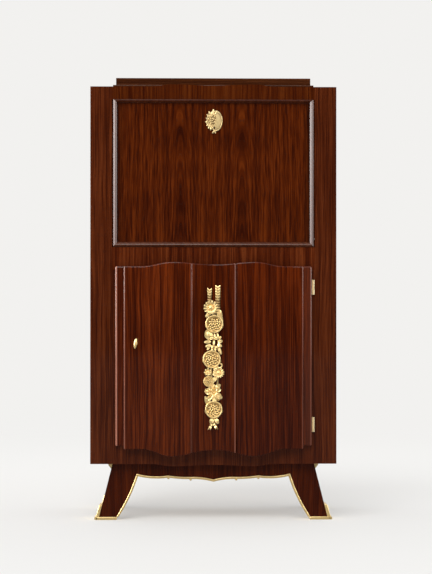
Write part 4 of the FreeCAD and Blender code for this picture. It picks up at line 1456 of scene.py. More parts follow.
@dataclass(frozen=True)
class Flower:
    """One flower of a mount.

    Attributes:
        kind: What flower it is.
        x: Its place along the width.
        z: Its height.
        radius: Its radius.
        turn: Its turn in the plane of the front, in degrees.
        lift: How far its seat stands off.
        drop: Share of the radius by which a rose's heart sits below its middle.
    """

    kind: Bloom
    x: float
    z: float
    radius: float
    turn: float = 0.0
    lift: float = 0.0
    drop: float = 0.0

    def rose(self) -> list[bpy.types.Object]:
        """Cup of wide petals round a packed heart.

        Returns:
            Its parts.
        """
        size, scale = self.radius, self.radius / 30.0
        parts = Blade(root=size * 0.46, length=size * 0.52, width=size * 0.92, rise=5.0, bend=1.7, swell=0.7,
                      point=0.4, cup=1.2, seat=1.6, thick=3.4).ring(7, 12.0)
        rim = Matrix.Translation(Vector((0.0, 0.0, 8.6)) * MM)
        parts.append(Bench.hoop("rim", size * 0.92, 2.1 * scale, rim))
        places = []
        for turn, share in spiral(30, 0.4):
            reach = size * (0.76 - 0.5 * self.drop) * share
            height = 10.0 - 3.0 * (reach / size) ** 2
            middle = Vector((reach * math.cos(turn), reach * math.sin(turn) - size * self.drop, height))
            places.append(Matrix.Translation(middle * MM) @ Matrix.Rotation(turn, 4, "Z"))
        petal = Bench.ball("petal", Vector(), Vector((2.6, 4.0, 3.0)) * scale, 5)
        parts += Bench.copies(petal, places)
        parts.append(Bench.ball("seat", Vector((0.0, 0.0, 1.0)), Vector((size * 0.80, size * 0.80, 3.4)), 8))
        return parts

    def daisy(self) -> list[bpy.types.Object]:
        """Ring of narrow petals round a beaded eye.

        Returns:
            Its parts.
        """
        size = self.radius
        count = 14 if size > 15 else 8
        width = 1.75 * math.pi * size * 0.66 / count
        parts = Blade(root=size * 0.22, length=size * 0.78, width=width, rise=6.0, bend=2.1, swell=0.7,
                      point=0.55, cup=0.9, seat=3.0).ring(count)
        parts.append(Bench.ball("eye", Vector((0.0, 0.0, 6.0)), Vector((size * 0.30, size * 0.30, 6.0)), 8))
        bead = Bench.ball("bead", Vector((size * 0.32, 0.0, 9.0)), Vector((2.0, 2.0, 2.0)), 5)
        parts += Bench.copies(bead, [Matrix.Rotation(math.tau * i / 9, 4, "Z") for i in range(9)])
        return parts

    def whorl(self) -> list[bpy.types.Object]:
        """Half-open flower of curled petals.

        Returns:
            Its parts.
        """
        size = self.radius
        outer = Blade(root=size * 0.05, length=size * 0.98, width=size * 0.50, rise=8.0, bend=2.0, swell=0.6,
                      point=0.6, cup=2.4, seat=3.0)
        inner = replace(outer, root=size * 0.02, length=size * 0.62, width=size * 0.32, cup=2.0, seat=6.0)
        parts = outer.ring(7, 20.0) + inner.ring(6, 50.0)
        parts.append(Bench.ball("eye", Vector((0.0, 0.0, 11.0)), Vector((3.6, 3.6, 3.2)), 7))
        return parts

    def make(self, depth: float) -> list[bpy.types.Object]:
        """Builds the flower in its place.

        Args:
            depth: Depth of the seat.

        Returns:
            Its parts.
        """
        makers = {Bloom.ROSE: self.rose, Bloom.DAISY: self.daisy, Bloom.WHORL: self.whorl}
        parts = makers[self.kind]()
        place = on_front(self.x, depth - self.lift, self.z, self.turn)
        for part in parts:
            part.data.transform(place)
        return parts


@dataclass
class Garland:
    """Cast garland of flowers, leaves and ribbons on the door.

    Attributes:
        seat: Depth of the panel under it.
        flowers: Its flowers.
        leaves: Its leaves, as (x, z, turn, length, width, seat).
        ribbons: Its ribbons, as (x and height of the notched end, x and height of the other end, width).
        notch: Depth of a ribbon's notch.
        rib: Height of a ribbon's cross ribs and the length of two of them.
        curl: How far a ribbon curls along its length and across its width.
        stems: Its stems, as (x, z, x, z, radius).
        loop: x, z, radius and thickness of its loop.
        lifts: How far the ribbons and the loop, and the stems, stand off the panel.
    """

    seat: float = -205.0
    flowers: tuple[Flower, ...] = (
        Flower(Bloom.DAISY, -9.4, 725.5, 25.0, turn=5.0, lift=3.0),
        Flower(Bloom.ROSE, 1.9, 670.0, 30.5, lift=1.0, drop=0.10),
        Flower(Bloom.ROSE, -6.8, 551.0, 30.5, lift=1.0, drop=0.03),
        Flower(Bloom.DAISY, -19.5, 507.5, 13.0, lift=2.0),
        Flower(Bloom.DAISY, 16.5, 506.0, 19.0, turn=10.0, lift=2.0),
        Flower(Bloom.ROSE, -17.0, 476.5, 18.0, turn=50.0, lift=1.0),
        Flower(Bloom.WHORL, 0.5, 438.5, 25.0, turn=8.0),
        Flower(Bloom.ROSE, 0.0, 381.0, 29.5, lift=1.0, drop=0.10),
        Flower(Bloom.DAISY, -22.0, 443.5, 9.0, lift=2.0))
    leaves: tuple[tuple[float, ...], ...] = (
        (12.0, 720.5, -70.0, 50.0, 15.0, 2.0), (27.0, 691.5, 102.0, 27.0, 9.0, 3.0),
        (-12.0, 706.5, 215.0, 20.0, 12.0, 2.0), (-4.0, 704.5, 120.0, 16.0, 12.0, 3.0),
        (-8.0, 656.5, 240.0, 38.0, 24.0, 2.0), (-18.0, 646.5, 262.0, 24.0, 17.0, 5.0),
        (-9.0, 611.5, 186.0, 24.0, 11.0, 5.0), (-10.0, 617.5, 152.0, 17.0, 10.0, 4.0),
        (-9.0, 600.5, 200.0, 20.0, 11.0, 5.0), (12.0, 611.0, 6.0, 18.0, 13.0, 5.0),
        (12.0, 619.5, 30.0, 16.0, 10.0, 4.0), (12.0, 601.5, -24.0, 17.0, 12.0, 5.0),
        (-15.0, 621.5, 12.0, 17.0, 10.0, 5.0), (-2.0, 625.0, -10.0, 20.0, 11.0, 6.0),
        (0.6, 617.0, -90.0, 22.0, 7.0, 4.0), (-12.0, 594.5, 4.0, 14.0, 7.0, 5.0),
        (1.0, 593.5, -4.0, 15.0, 7.0, 5.0), (-14.0, 596.0, 238.0, 16.0, 8.0, 3.0),
        (-5.0, 592.5, 262.0, 15.0, 7.0, 3.0), (4.0, 592.5, 276.0, 15.0, 7.0, 3.0),
        (13.0, 598.5, -68.0, 34.0, 11.0, 2.0), (12.0, 640.5, 280.0, 20.0, 6.0, 4.0),
        (3.0, 640.5, 268.0, 20.0, 5.0, 4.0), (-6.0, 641.5, 262.0, 18.0, 6.0, 4.0),
        (2.0, 526.5, -60.0, 20.0, 15.0, 3.0), (-4.0, 504.5, -20.0, 20.0, 14.0, 3.0),
        (8.0, 492.5, 240.0, 22.0, 13.0, 3.0), (-6.0, 468.5, -60.0, 24.0, 14.0, 2.0),
        (12.0, 468.5, -84.0, 28.0, 14.0, 3.0), (4.0, 454.5, 30.0, 22.0, 14.0, 2.0),
        (8.0, 430.5, -28.0, 24.0, 15.0, 4.0), (-6.0, 426.5, 210.0, 22.0, 14.0, 3.0),
        (-14.0, 426.5, 262.0, 22.0, 11.0, 3.0), (-17.0, 390.5, 108.0, 38.0, 13.0, 2.0),
        (10.0, 410.5, 60.0, 18.0, 14.0, 2.0), (2.0, 420.5, -90.0, 18.0, 14.0, 3.0),
        (-4.0, 352.5, 250.0, 20.0, 13.0, 3.0), (6.0, 352.5, -65.0, 22.0, 13.0, 3.0))
    ribbons: tuple[tuple[float, ...], ...] = (
        (-14.0, 792.5, -14.0, 736.5, 14.5), (13.8, 802.5, 13.8, 708.5, 16.5), (-16.0, 311.5, 8.0, 362.5, 9.5),
        (11.0, 313.5, -13.0, 362.5, 9.5))
    notch: float = 6.0
    rib: tuple[float, float] = (1.8, 18.0)
    curl: tuple[float, float] = (3.0, 1.6)
    stems: tuple[tuple[float, ...], ...] = (
        (2.0, 706.5, 0.6, 606.5, 2.4), (0.6, 606.5, -4.0, 536.5, 2.4), (14.0, 526.5, 12.5, 446.5, 3.0),
        (-8.0, 526.5, -6.0, 446.5, 3.4), (0.0, 446.5, 0.0, 346.5, 3.6))
    loop: tuple[float, ...] = (20.0, 529.5, 7.5, 2.4)
    lifts: tuple[float, float] = (7.0, 3.0)

    def ribbon(self, x: float, z: float, end_x: float, end_z: float, width: float) -> bpy.types.Object:
        """Ribbon with a swallow-tail end and cross ribs.

        Args:
            x: Middle of its notched end.
            z: Height of that end.
            end_x: Middle of its other end.
            end_z: Height of the other end.
            width: Its width.

        Returns:
            The ribbon.
        """
        rib_height, rib_length = self.rib
        curl_along, curl_across = self.curl

        def front(u: float, v: float) -> Vector:
            """Point of the ribbon's face.

            Args:
                u: Share of the width.
                v: Share of the length.

            Returns:
                The point.
            """
            aside = 2 * u - 1
            notch = self.notch * (1 - abs(aside)) * (1 - v)
            height = z + (end_z - z) * v + math.copysign(notch, end_z - z)
            rib = rib_height * math.sin(v * abs(end_z - z) / rib_length * math.tau) ** 2
            curl = curl_along * math.cos(v * math.pi * 1.5) - curl_across * aside * aside
            depth = self.seat - self.lifts[0] - curl - rib
            return Vector((x + (end_x - x) * v + width / 2 * aside, depth, height))

        piece = Bench.sheet("ribbon", 6, 72, front)
        Bench.thicken(piece, Vector((0.0, 3.0, 0.0)))
        return piece

    def build(self, store: FinishStore) -> list[bpy.types.Object]:
        """Makes the garland.

        Args:
            store: Where the finishes come from.

        Returns:
            The garland, alone.
        """
        parts = [part for flower in self.flowers for part in flower.make(self.seat)]
        for x, z, turn, length, width, seat in self.leaves:
            leaf = Blade(root=0.0, length=length, width=width, rise=5.5, bend=2.2, swell=0.48, point=0.95,
                         cup=0.8, rib=1.4, seat=seat + 2.0).make(10)
            leaf.data.transform(on_front(x, self.seat, z, turn))
            parts.append(leaf)
        parts += [self.ribbon(*sizes) for sizes in self.ribbons]
        ribbon_depth, stem_depth = (self.seat - lift for lift in self.lifts)
        for x, z, next_x, next_z, radius in self.stems:
            start, end = Vector((x, stem_depth, z)), Vector((next_x, stem_depth, next_z))
            parts.append(Bench.rod("stem", start, end, radius, 10))
        x, z, radius, thickness = self.loop
        parts.append(Bench.hoop("loop", radius, thickness, on_front(x, ribbon_depth, z)))
        piece = Bench.join("door_garland_chased", parts)
        Bench.settle(piece, 60.0)
        store.dress(piece, GARLAND_GILT)
        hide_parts("door_garland")
        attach(piece, "door")
        return [piece]


@dataclass
class Escutcheon:
    """Leafy lock plate of the flap.

    Attributes:
        seat: Depth of the flap's panel.
        disc: Centre x, centre z and half sizes of the smooth disc.
        crown: Height of the disc's middle.
        sunk: Outline of the disc's sunk part, as x and height over the disc's middle.
        sunk_lift: Height of the sunk part.
        reach: How far the cutters stand out on both sides.
        root: Where the leaves point away from.
        tips: Tips of the leaves.
        rim: Size of the disc's rim as a share of the disc's, the rim's thickness and its height.
        bumps: Middle, half sizes and height of the knobbly field inside the leaves.
        bump: Half width, half depth and half height of a bump, and how much the last one changes.
        ground: Height of the field's ground.
        keyhole: Middle of the keyhole, as (x, z).
        eye: Radius of the keyhole's round eye and its rise over the keyhole's middle.
        slit: Half width and half height of the keyhole's slit.
        clear: Half width and half height round the keyhole that the bumps keep free.
        fork: Where the two stalks part, as (x, z).
        stalks: Lower ends of the stalks.
        stalk: Height and radius of a stalk.
    """

    seat: float = framed("flap_panel", Side.FRONT)
    disc: tuple[float, ...] = (8.8, 1363.5, 21.5, 34.5)
    crown: float = 4.6
    sunk: tuple[tuple[float, float], ...] = (
        (-30.0, -32.0), (2.0, -15.2), (9.0, 4.0), (5.0, 40.0), (-30.0, 40.0))
    sunk_lift: float = 2.3
    reach: float = 12.0
    root: tuple[float, float] = (-4.0, 1364.0)
    tips: tuple[tuple[float, float], ...] = (
        (0.4, 1404.0), (-6.3, 1395.5), (-15.3, 1396.5), (-22.0, 1386.0), (-25.9, 1373.0), (-28.6, 1359.0),
        (-23.5, 1346.5), (-18.0, 1336.5), (-10.2, 1331.5), (13.3, 1398.5))
    rim: tuple[float, float, float] = (0.95, 2.4, 1.8)
    bumps: tuple[float, ...] = (-7.0, 1364.0, 17.0, 27.0, 3.4)
    bump: tuple[float, float, float, float] = (2.5, 2.6, 2.7, 0.7)
    ground: float = 1.7
    keyhole: tuple[float, float] = (3.1, 1338.0)
    eye: tuple[float, float] = (2.86, 2.6)
    slit: tuple[float, float] = (1.76, 5.7)
    clear: tuple[float, float] = (6.0, 9.5)
    fork: tuple[float, float] = (2.2, 1330.8)
    stalks: tuple[tuple[float, float], ...] = ((-3.5, 1321.5), (7.2, 1321.5))
    stalk: tuple[float, float] = (3.0, 2.2)

    def cutters(self) -> list[bpy.types.Object]:
        """Bodies that cut the sunk part and the keyhole out of the disc.

        Returns:
            The bodies.
        """
        middle = self.disc[1]
        x, z = self.keyhole
        radius, rise = self.eye
        half_width, half_height = self.slit
        front, back = self.seat - self.reach, self.seat + self.reach
        outline = [Vector((side, front, middle + up)) for side, up in self.sunk]
        sunk = Bench.prism("sunk", outline, self.reach - self.sunk_lift)
        pin = Bench.rod("pin", Vector((x, front, z + rise)), Vector((x, back, z + rise)), radius)
        corners = [Vector((x + way * half_width, front, z + up * half_height))
                   for way, up in ((-1, -1), (1, -1), (1, 1), (-1, 1))]
        return [sunk, pin, Bench.prism("slit", corners, back - front)]

    def plate(self) -> bpy.types.Object:
        """Smooth disc with a rim, sunk under the leaves and cut by the keyhole.

        Returns:
            The disc.
        """
        x, z, half_x, half_z = self.disc
        plate = Bench.ball("disc", Vector((x, self.seat, z)), Vector((half_x, self.crown, half_z)), 24)
        for cutter in self.cutters():
            Bench.settle(cutter)
            Bench.settle(plate)
            Bench.modify(plate, "BOOLEAN", operation="DIFFERENCE", solver="EXACT", object=cutter)
            bpy.data.objects.remove(cutter, do_unlink=True)
        share, thickness, lift = self.rim
        squash = Matrix.Diagonal((half_x / half_z, 1.0, 1.0, 1.0))
        rim = Bench.hoop("rim", half_z * share, thickness, on_front(x, self.seat - lift, z) @ squash)
        return Bench.join("plate", [plate, rim])

    def foliage(self) -> list[bpy.types.Object]:
        """Leaves round the plate's left side.

        Returns:
            The leaves.
        """
        made = []
        root_x, root_z = self.root
        for x, z in self.tips:
            way = Vector((x - root_x, z - root_z))
            turn = math.degrees(math.atan2(way.y, way.x))
            leaf = Blade(root=way.length * 0.40, length=way.length * 0.60, width=7.6, rise=1.6, bend=2.6,
                         swell=0.5, point=1.15, cup=-0.8, rib=1.0, seat=2.6).make(10)
            leaf.data.transform(on_front(root_x, self.seat, root_z, turn))
            made.append(leaf)
        return made

    def knobbles(self) -> list[bpy.types.Object]:
        """Knobbly field inside the leaves.

        Returns:
            The field's ground and its bumps.
        """
        x, z, half_x, half_z, height = self.bumps
        ground = Bench.ball("ground", Vector((x, self.seat, z)), Vector((half_x, self.ground, half_z)), 12)
        width, depth, tall, change = self.bump
        places = []
        for step, (turn, share) in enumerate(spiral(28, 0.5)):
            aside, rise = half_x * share * math.cos(turn), half_z * share * math.sin(turn)
            spot = Vector((x + aside, self.seat - height, z + rise))
            if abs(spot.x - self.keyhole[0]) > self.clear[0] or abs(spot.z - self.keyhole[1]) > self.clear[1]:
                size = Matrix.Diagonal((width, depth, tall + change * math.sin(5.0 * step), 1.0))
                places.append(Matrix.Translation(spot * MM) @ size)
        bump = Bench.ball("bump", Vector(), Vector((1.0, 1.0, 1.0)), 7)
        return [ground, *Bench.copies(bump, places)]

    def build(self, store: FinishStore) -> list[bpy.types.Object]:
        """Makes the lock plate.

        Args:
            store: Where the finishes come from.

        Returns:
            The lock plate, alone.
        """
        parts = [self.plate(), *self.foliage(), *self.knobbles()]
        lift, radius = self.stalk
        depth = self.seat - lift
        fork = Vector((self.fork[0], depth, self.fork[1]))
        for x, z in self.stalks:
            parts.append(Bench.rod("stalk", fork, Vector((x, depth, z)), radius, 12))
        piece = Bench.join("flap_escutcheon_chased", parts)
        Bench.settle(piece, 60.0)
        store.dress(piece, PLATE_GILT)
        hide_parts("flap_escutcheon")
        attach(piece, "flap")
        return [piece]


@dataclass
class Knob:
    """Olive turn knob with its neck, spindle, follower and crank.

    Attributes:
        x: Its place along the width.
        z: Its height.
        depth: Depth of the olive's middle.
        tilt: Lean of the olive to the right, in degrees.
        radii: Half sizes of the olive.
        back: Depth of the door's back.
        follower: Depths of the follower's front and back, and of the crank's end.
        crank: Throw of the crank, which stands at 45 degrees.
        rods: Radii of the spindle, the follower and the crank's pin.
    """

    x: float = -264.0
    z: float = 604.5
    depth: float = -222.25
    tilt: float = 8.0
    radii: tuple[float, float, float] = (5.5, 5.5, 18.0)
    back: float = framed("door_back_board", Side.BACK)
    follower: tuple[float, float, float] = (-171.95, -168.95, -164.85)
    crank: float = 5.657
    rods: tuple[float, float, float] = (3.5, 10.0, 2.0)

    def build(self, store: FinishStore) -> list[bpy.types.Object]:
        """Makes the knob.

        Args:
            store: Where the finishes come from.

        Returns:
            The knob, alone.
        """
        olive = Bench.ball("olive", Vector(), Vector(self.radii), 20)
        olive.data.transform(Matrix.Translation(Vector((self.x, self.depth, self.z)) * MM)
                             @ Matrix.Rotation(math.radians(self.tilt), 4, "Y"))
        front, rear, end = self.follower
        aside = self.crank * math.sin(math.radians(45))
        spindle, disc, pin = self.rods
        runs = ((0.0, self.depth, self.back, spindle), (0.0, self.back, front, spindle),
                (0.0, front, rear, disc), (aside, rear, end, pin))
        parts = [olive] + [Bench.rod("rod", Vector((self.x + shift, start, self.z + shift)),
                                     Vector((self.x + shift, stop, self.z + shift)), radius)
                           for shift, start, stop, radius in runs]
        piece = Bench.join("door_knob_turned", parts)
        Bench.settle(piece)
        store.dress(piece, GILT)
        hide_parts("door_knob")
        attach(piece, "knob")
        return [piece]


def arc_points(start: Vector, middle: Vector, end: Vector, count: int) -> list[Vector]:
    """Points on the circle through three points of the front.

    Args:
        start: First point, as (x, z).
        middle: A point between.
        end: Last point.
        count: How many steps.

    Returns:
        The points, both ends included.
    """
    first, second = middle - start, end - start
    double = 2 * (first.x * second.y - first.y * second.x)
    reach_a, reach_b = first.length_squared, second.length_squared
    aside = second.y * reach_a - first.y * reach_b
    rise = first.x * reach_b - second.x * reach_a
    centre = start + Vector((aside, rise)) / double
    radius = (start - centre).length
    angles = [math.atan2(p.y - centre.y, p.x - centre.x) for p in (start, middle, end)]
    sweep = (angles[2] - angles[0]) % math.tau
    if (angles[1] - angles[0]) % math.tau > sweep:
        sweep -= math.tau
    turns = [angles[0] + sweep * step / count for step in range(count + 1)]
    return [centre + radius * Vector((math.cos(turn), math.sin(turn))) for turn in turns]


@dataclass
class BaseTrims:
    """Gilt strips on the edges of the base and the small brackets under the carcass.

    Attributes:
        front: Depth of the base's front.
        corner: Corner of the arch, as (x, z).
        foot: Foot of the inner edge of a leg.
        bow: How far that edge bows.
        low: Height at which the strip ends, in the shoe.
        drops: Distances of the two drops from the middle.
        levels: Heights of the edge from the corner to the middle: each run's sag and its end.
        thick: Height of the strip.
        depth: Its depth behind the front.
        fillet: How far the strip's fillet stands out.
        bead: Middle, half height, foot and rise of the strip's bead.
        hook: Radius and length of the curls where the runs meet, and how far they stand out and hang down.
        side: Front, middle and back of a side strip, as (depth, height).
        side_faces: Inner and outer face of a side strip.
        side_chamfer: Width of a side strip's slanted edges.
        bracket: Outline of a bracket, as (x, z).
        bracket_depth: Depth of a bracket.
    """

    front: float = framed("front_apron", Side.FRONT)
    corner: tuple[float, float] = (258.0, 149.0)
    foot: tuple[float, float] = (331.0, 0.0)
    bow: float = 6.0
    low: float = 9.5
    drops: tuple[float, float] = (154.0, 78.0)
    levels: tuple[float, ...] = (141.5, 144.0, 140.0, 139.0, 137.5, 130.0)
    thick: float = 7.5
    depth: float = 18.0
    fillet: float = 2.6
    bead: tuple[float, float, float, float] = (4.9, 2.4, 2.2, 1.8)
    hook: tuple[float, float, float, float] = (4.2, 12.0, 3.8, 0.6)
    side: tuple[tuple[float, float], ...] = ((-84.25, 149.0), (34.75, 176.0), (153.75, 149.0))
    side_faces: tuple[float, float] = (327.0, 354.0)
    side_chamfer: float = 1.5
    bracket: tuple[tuple[float, float], ...] = (
        (345.0, 193.5), (359.5, 193.5), (359.5, 187.5), (349.5, 174.5))
    bracket_depth: float = 16.0

    def edge(self) -> list[Vector]:
        """Lower edge from the middle to the right foot.

        Returns:
            The points, as (x, z).
        """
        outer_sag, outer_drop, middle_sag, inner_drop, inner_sag, centre = self.levels
        outer, inner = self.drops
        corner, foot = Vector(self.corner), Vector(self.foot)
        near, far = Vector((inner, inner_drop)), Vector((outer, outer_drop))
        runs = [(Vector((0.0, centre)), Vector((inner / 2, inner_sag)), near),
                (near, Vector(((inner + outer) / 2, middle_sag)), far),
                (far, Vector(((outer + corner.x) / 2, outer_sag)), corner)]
        chord = foot - corner
        aside = Vector((-chord.y, chord.x)).normalized()
        runs.append((corner, (corner + foot) / 2 - aside * self.bow, foot))
        points = [runs[0][0]]
        for run in runs:
            points += arc_points(*run, 14)[1:]
        return [point for point in points if point.y > self.low]

    def section(self) -> list[tuple[float, float]]:
        """Outline of the strip: a bead over a fillet.

        Returns:
            (height in the strip, distance in front of the base) pairs.
        """
        middle, half, foot, rise = self.bead
        points = [(0.0, -self.depth), (0.0, foot), (0.4, self.fillet), (half, self.fillet)]
        for angle in (math.pi * step / 8 for step in range(9)):
            points.append((middle - half * math.cos(angle), foot + rise * math.sin(angle)))
        return points + [(self.thick, -self.depth)]

    def front_strip(self) -> bpy.types.Object:
        """Strip along both legs and the apron, in one run.

        Returns:
            The strip.
        """
        half = self.edge()
        line = [Vector((-point.x, point.y)) for point in reversed(half)] + half[1:]
        rings = []
        for index, point in enumerate(line):
            before = (point - line[max(index - 1, 0)]).normalized() if index else None
            after = (line[index + 1] - point).normalized() if index < len(line) - 1 else before
            ahead = ((before or after) + after).normalized()
            normal = Vector((-ahead.y, ahead.x)) / max(0.5, ahead.dot(after))
            rings.append([Vector((point.x + normal.x * up, self.front - out, point.y + normal.y * up))
                          for up, out in self.section()])
        return Bench.sweep("strip", rings)

    def hooks(self) -> list[bpy.types.Object]:
        """Small curls where the runs of the apron meet.

        Returns:
            The curls.
        """
        radius, length, out, down = self.hook
        start = Vector((0.0, self.front - out, -down))
        hook = Bench.rod("hook", start, start + Vector((0.0, length, 0.0)), radius, 16)
        heights = (self.levels[1], self.levels[3])
        spots = [Vector((way * x, 0.0, z)) for x, z in zip(self.drops, heights) for way in (1, -1)]
        return Bench.copies(hook, [Matrix.Translation(spot * MM) for spot in spots])

    def side_strip(self, way: int) -> bpy.types.Object:
        """Strip under one side.

        Args:
            way: 1 for the right side, -1 for the left.

        Returns:
            The strip.
        """
        inner, outer = self.side_faces
        top, chamfer = self.thick, self.side_chamfer
        outline = [(inner, 0.0), (outer - chamfer, 0.0), (outer, chamfer), (outer, top - chamfer),
                   (outer - chamfer, top), (inner, top)]
        line = arc_points(*(Vector(spot) for spot in self.side), 24)
        return Bench.sweep("side_strip", [[Vector((way * x, point.x, point.y + up)) for x, up in outline]
                                          for point in line])

    def build(self, store: FinishStore) -> list[bpy.types.Object]:
        """Makes all the strips and brackets.

        Args:
            store: Where the finishes come from.

        Returns:
            The trims, joined to one piece.
        """
        parts = [self.front_strip(), *self.hooks(), self.side_strip(1), self.side_strip(-1)]
        for way in (1, -1):
            near = [Vector((way * x, self.front, z)) for x, z in self.bracket]
            parts.append(Bench.prism("bracket", near, self.bracket_depth))
        piece = Bench.join("base_trims_moulded", parts)
        Bench.settle(piece)
        store.dress(piece, GILT)
        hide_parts("base_trims")
        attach(piece, "cabinet")
        return [piece]


@dataclass(frozen=True)
class Shoe:
    """Gilt shoe: a sole with a rolled toe and a plate up the outer side of the foot.

    Attributes:
        inner: Inner end of the sole.
        front: Depth of its front.
        back: Depth of its back.
        outer: Outer end of the sole at the floor.
        top: Height of the plate's top.
        height: Height of the sole.
        plate: Inner face of the plate at the sole and at its top, and its thickness.
        sunk: How far the plate's foot sinks into the sole.
        slant: Width and height of the slant at the plate's top.
        roll: Radius of the rolled toe.
        soft: Width of the softened edges of the sole and of the plate.
    """

    inner: float
    front: float
    back: float
    outer: float
    top: float
    height: float = 10.0
    plate: tuple[float, float, float] = (391.47, 381.09, 11.0)
    sunk: float = 1.0
    slant: tuple[float, float] = (3.0, 2.0)
    roll: float = 5.2
    soft: tuple[float, float] = (1.6, 2.2)

    def _block(self, outline: Sequence[tuple[float, float]], way: int, bevel: float) -> bpy.types.Object:
        """Prism through the depth of the shoe.

        Args:
            outline: Its corners, as (x, z).
            way: 1 for the right side, -1 for the left.
            bevel: Width of its softened edges.

        Returns:
            The prism.
        """
        near = [Vector((way * x, self.front, z)) for x, z in outline]
        piece = Bench.prism("block", near, self.back - self.front)
        Bench.settle(piece)
        Bench.soften(piece, bevel, 3, 30.0)
        return piece

    def make(self, way: int) -> list[bpy.types.Object]:
        """Builds the shoe.

        Args:
            way: 1 for the right side, -1 for the left.

        Returns:
            Its parts.
        """
        low, high, thick = self.plate
        foot, top = self.height - self.sunk, self.top
        slant_width, slant_height = self.slant
        sole = [(self.inner, 0.0), (self.outer - self.roll, 0.0), (self.outer - self.roll, self.height),
                (self.inner, self.height)]
        upright = [(low, foot), (low + thick, foot), (high + thick, top - slant_height),
                   (high + thick - slant_width, top), (high, top)]
        toe = way * (self.outer - self.roll)
        ends = [Vector((toe, depth, self.roll)) for depth in (self.front, self.back)]
        blocks = [self._block(outline, way, soft) for outline, soft in zip((sole, upright), self.soft)]
        return [*blocks, Bench.rod("toe", *ends, self.roll, 24)]


@dataclass
class ShoeSet:
    """The four shoes.

    Attributes:
        fore_inner: Inner end of a front shoe's sole.
        rear_inner: Inner end of a rear shoe's sole.
    """

    fore_inner: float = framed("front_right_sabot", Side.LEFT)
    rear_inner: float = 348.0

    @staticmethod
    def shoe(node: str, inner: float) -> Shoe:
        """Shoe in the place of a CAD node.

        Args:
            node: Name of the node, which reaches to the right shoe's outer end.
            inner: Inner end of the sole.

        Returns:
            The shoe.
        """
        sides = (Side.FRONT, Side.BACK, Side.RIGHT, Side.TOP)
        return Shoe(inner, *(side_of(node, side) for side in sides))

    def build(self, store: FinishStore) -> list[bpy.types.Object]:
        """Makes the shoes, the rear pair as one piece.

        Args:
            store: Where the finishes come from.

        Returns:
            The pieces.
        """
        fore = self.shoe("front_right_sabot", self.fore_inner)
        rear = self.shoe("rear_sabots", self.rear_inner)
        sets = {"front_left_sabot": fore.make(-1), "front_right_sabot": fore.make(1),
                "rear_sabots": rear.make(-1) + rear.make(1)}
        made = []
        for node, parts in sets.items():
            piece = Bench.join(node + "_cast", parts)
            Bench.settle(piece)
            store.dress(piece, GILT)
            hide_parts(node)
            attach(piece, "cabinet")
            made.append(piece)
        return made


# Studio

